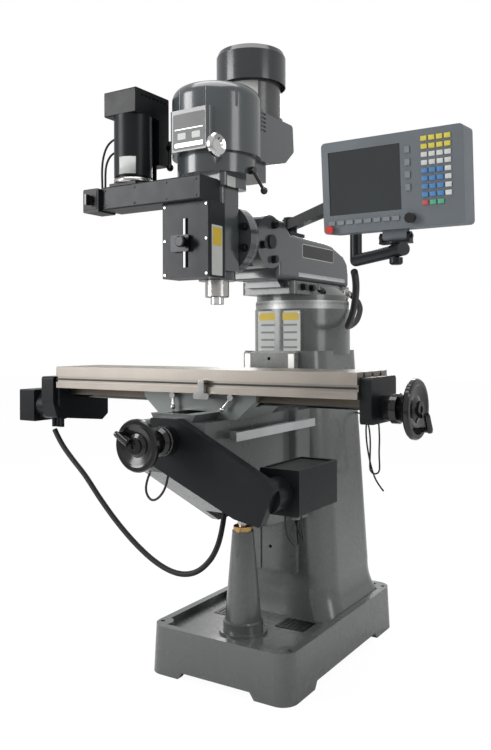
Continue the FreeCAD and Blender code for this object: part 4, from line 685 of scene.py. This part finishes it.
# %% [markdown]
# ## Graduations
# The turret, the head flange and the cross-feed dial carry lines cut at even angles and filled with paint.
# One tree stands ticks on a ring: a circle gives the places, and each tick turns by its own share of a
# full turn. Longer ticks at wider spacing are a second call.

# %% Cut the graduations
def ring_of_ticks(name, centre, tip, radius, count, width, length, body, material, depth=0.0003):
    """Ticks round an axis; tip is how the upright ring is tipped, in degrees about x, y and z."""
    tree = Repeat(name, {
        "Count": ("Int", count), "Radius": ("Float", radius), "Width": ("Float", width),
        "Length": ("Float", length), "Depth": ("Float", depth),
        "Centre": ("Vector", centre), "Tip": ("Vector", tuple(math.radians(angle) for angle in tip))})
    circle = tree.add("GeometryNodeMeshCircle", {"fill_type": "NONE"},
                      {"Vertices": tree.given("Count"), "Radius": tree.given("Radius")})
    tick = tree.add("GeometryNodeMeshCube", None,
                    {"Size": tree.vector(tree.given("Depth"), tree.given("Width"), tree.given("Length"))})
    share = tree.add("ShaderNodeMath", {"operation": "DIVIDE"}, {0: math.tau, 1: tree.given("Count")})
    turned = tree.vector(z=tree.add("GeometryNodeInputIndex") * share)
    ticks = tree.add("GeometryNodeInstanceOnPoints", None, {"Points": circle, "Instance": tick,
                                                            "Rotation": turned})
    placed = tree.add("GeometryNodeTransform", None, {"Geometry": ticks,
                                                      "Translation": tree.given("Centre"),
                                                       "Rotation": tree.given("Tip")})
    return tree.keep(placed, material, body, "aluminium")


ring_of_ticks("turret_fine_marks", (0, 0.2, 1.389), (0, 0, 0), 0.198, 360, 0.0005, 0.009, "turret",
              plate_black)
ring_of_ticks("turret_long_marks", (0, 0.2, 1.386), (0, 0, 0), 0.198, 36, 0.0009, 0.017, "turret",
              plate_black)
ring_of_ticks("flange_fine_marks", (0, -0.371, 1.602), (90, 0, 0), 0.128, 180, 0.0005, 0.007, "adapter",
              plate_white)
ring_of_ticks("flange_long_marks", (0, -0.373, 1.602), (90, 0, 0), 0.128, 36, 0.0008, 0.012, "adapter",
              plate_white)
ring_of_ticks("cross_dial_marks", (0, -0.762, 0.913), (90, 0, 0), 0.047, 100, 0.0004, 0.007, "y_wheel",
              plate_white)

# %% [markdown]
# ## Rules
# The ram has a rule along its edge, which shows how far it stands out. Straight graduations are the same
# idea as the rings, with a line in place of the circle.

# %% Lay the ram rule
RULE_START, RULE_END = -0.045, 0.375
RULE_LOW, RULE_HIGH = 1.488, 1.504
RULE_THICKNESS = 0.0012
RULE_BACK = touch("ram", (0.5, 0.1, 1.496), (-1, 0, 0)).x
rule_middle = (RULE_BACK, (RULE_START + RULE_END) / 2, (RULE_LOW + RULE_HIGH) / 2)
flat_plate("ram_rule", (RULE_END - RULE_START, RULE_HIGH - RULE_LOW), rule_middle,
           BACKWARD, UPWARD, rule_aluminium, "ram", 0.001, RULE_THICKNESS)


def line_of_ticks(name, start, step, count, size, body, material):
    tree = Repeat(name, {"Start": ("Vector", start), "Step": ("Vector", step), "Count": ("Int", count),
                         "Size": ("Vector", size)})
    line = tree.add("GeometryNodeMeshLine", None, {"Count": tree.given("Count"),
                                                   "Start Location": tree.given("Start"),
                                                    "Offset": tree.given("Step")})
    tick = tree.add("GeometryNodeMeshCube", None, {"Size": tree.given("Size")})
    ticks = tree.add("GeometryNodeInstanceOnPoints", None, {"Points": line, "Instance": tick})
    return tree.keep(ticks, material, body, "aluminium")


RULE_FACE = RULE_BACK + RULE_THICKNESS
line_of_ticks("rule_fine_marks", (RULE_FACE, RULE_START + 0.005, 1.500), (0, 0.005, 0), 83,
              (0.0003, 0.0006, 0.006), "ram", plate_black)
line_of_ticks("rule_long_marks", (RULE_FACE, RULE_START + 0.010, 1.498), (0, 0.050, 0), 9,
              (0.0003, 0.0010, 0.011), "ram", plate_black)

# %% [markdown]
# ## Screws
# Covers and guards are held by socket and button screws. Their heads catch small highlights that tell
# the eye how large the machine is. The head is turned once from a profile with a recess for the key, and
# a tree puts a copy at every chosen place, all facing out of the same side.

# %% Turn a screw head
def turned_mesh(name, profile, steps=20):
    """A closed shape turned about z from (radius, height) points, first and last on the axis."""
    work = bmesh.new()
    rows = [[work.verts.new((radius * math.cos(math.tau * i / steps),
                             radius * math.sin(math.tau * i / steps), height))
             for i in range(steps)] if radius > 0 else [work.verts.new((0, 0, height))]
            for radius, height in profile]
    for low, high in zip(rows, rows[1:]):
        for i in range(steps):
            j = (i + 1) % steps
            corners = [low[i % len(low)], low[j % len(low)], high[j % len(high)], high[i % len(high)]]
            work.faces.new(list(dict.fromkeys(corners)))
    bmesh.ops.recalc_face_normals(work, faces=work.faces)
    mesh = bpy.data.meshes.new(name)
    work.to_mesh(mesh)
    work.free()
    return mesh


def screw_head(radius):
    height = radius * 0.5
    return [(0, 0), (radius, 0), (radius, height * 0.6), (radius * 0.8, height), (radius * 0.45, height),
            (radius * 0.45, height * 0.35), (0, height * 0.35)]


def row_of_screws(name, node, side, across, radius, body, material=black_oxide):
    """Screws on one side of a node; across lists the two other coordinates of each."""
    axis = "xyz".index(side[0])
    sign = 1 if side[1] == "+" else -1
    places = []
    for pair in across:
        start = list(pair)
        start.insert(axis, sign * 4.0)
        direction = [0, 0, 0]
        direction[axis] = -sign
        places.append(tuple(touch(node, start, direction)))
    facing = [0, 0, 0]
    facing[axis] = sign
    turn = Vector(facing).to_track_quat("Z", "Y").to_euler()
    model = bpy.data.objects.new(name + "_model", turned_mesh(name + "_model", screw_head(radius)))
    bpy.context.scene.collection.objects.link(model)
    tree = Repeat(name, {"Places": ("Geometry", None), "Model": ("Object", model),
                         "Facing": ("Vector", tuple(turn))})
    shape = tree.add("GeometryNodeObjectInfo", None, {"Object": tree.given("Model")}).out("Geometry")
    heads = tree.add("GeometryNodeInstanceOnPoints", None,
                     {"Points": tree.given("Places"), "Instance": shape, "Rotation": tree.given("Facing")})
    piece = tree.keep(heads, material, body, "black_steel", places)
    bpy.data.objects.remove(model)
    return piece


def corners_of(node, side, inset, rows=2):
    """Places near the edges of one side of a node, in so many rows."""
    low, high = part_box(node)
    first, second = [i for i in range(3) if i != "xyz".index(side[0])]
    edges = [low[first] + inset, high[first] - inset]
    bottom, top = low[second] + inset, high[second] - inset
    return [(edge, bottom + (top - bottom) * i / (rows - 1)) for edge in edges for i in range(rows)]


row_of_screws("cover_screws", "quill_drive_cover", "y-", corners_of("quill_drive_cover", "y-", 0.012,
        3), 0.0045, "head",
              chrome)
row_of_screws("beam_screws", "drive_beam", "y-", [(x, z) for x in (-0.335, -0.2, -0.06, 0.064)
                                                  for z in (1.718, 1.772)],
              0.0045, "head")
row_of_screws("nameplate_rivets", "ram", "x+", [(y, z) for y in (-0.008, 0.258)
                                                for z in (1.573, 1.613)], 0.002, "ram",
              rule_aluminium)
row_of_screws("placard_rivets", "column_base", "y-", [(x, z) for x in (-0.090, 0.090)
                                                      for z in (1.200, 1.348)], 0.0025,
              "frame", rule_aluminium)
row_of_screws("control_box_screws", "motor_control_box", "x+",
              [(y, z) for y in (-0.640, -0.475) for z in (2.05, 2.11)], 0.0035, "head")

# %% [markdown]
# ## Key caps
# The keys are one moulded mat, so the CAD holds them as one node. Their caps have different colours by
# what they do. The mat's mesh falls apart into islands, one to a cap, and each cap joins the group of its
# column and row. A small bevel rounds the caps.

# %% Colour the keys
def islands_of(node):
    """The separate parts of a node's mesh, as lists of faces' corner places."""
    work = bmesh.new()
    work.from_mesh(nodes[node].data)
    bmesh.ops.remove_doubles(work, verts=work.verts, dist=1e-6)
    left = dict.fromkeys(work.faces)  # in the mesh's own order, so that every run gives the same islands
    found = []
    while left:
        first = next(iter(left))
        del left[first]
        grown = [first]
        edge = [first]
        while edge:
            face = edge.pop()
            for near in [f for e in face.edges for f in e.link_faces]:
                if near in left:
                    del left[near]
                    grown.append(near)
                    edge.append(near)
        found.append([[v.co.copy() for v in face.verts] for face in grown])
    work.free()
    return found


def middle_of(island):
    corners = [corner for face in island for corner in face]
    return sum(corners, Vector()) / len(corners)


def caps(name, islands, material, node, body):
    work = bmesh.new()
    for island in islands:
        for face in island:
            work.faces.new([work.verts.new(corner) for corner in face])
    bmesh.ops.remove_doubles(work, verts=work.verts, dist=1e-6)
    bmesh.ops.dissolve_limit(work, angle_limit=0.02, verts=work.verts, edges=work.edges)
    bmesh.ops.bevel(work, geom=work.edges[:], offset=0.0011, segments=2, affect="EDGES", profile=0.6)
    bmesh.ops.recalc_face_normals(work, faces=work.faces)
    mesh = bpy.data.meshes.new(name)
    work.to_mesh(mesh)
    work.free()
    piece = keep_piece(name, mesh, body, material, True)
    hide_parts(node)
    return piece


key_islands = islands_of("keypad_keys")
KEY_SPACING_X = 0.02184
KEY_SPACING_Z = 0.02165
HALF_KEY_X, HALF_KEY_Z = 0.0085, 0.0065
LAST_ROW = 8
low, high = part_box("keypad_keys")
groups = {}
for island in key_islands:
    place = middle_of(island)
    column = round((place.x - low[0] - HALF_KEY_X) / KEY_SPACING_X)
    row = round((high[2] - HALF_KEY_Z - place.z) / KEY_SPACING_Z)
    colour = "blue"
    if row < 2:
        colour = "yellow"
    elif row < 4 or column == 3:
        colour = "white"
    if row == LAST_ROW:
        colour = ("red", "green", "green")[column]
    groups.setdefault(colour, []).append(island)
KEY_COLOURS = {"yellow": yellow_key, "white": white_key, "blue": blue_key, "red": red_key,
               "green": green_key}
for colour, islands in groups.items():
    caps(f"{colour}_keys", islands, KEY_COLOURS[colour], "keypad_keys", "keypad")
print("keys:", {colour: len(islands) for colour, islands in groups.items()})


# %% [markdown]
# ## Finish
# The colours are shown through the Standard view transform.

# %% Set the view transform
bpy.context.scene.view_settings.view_transform = "Standard"
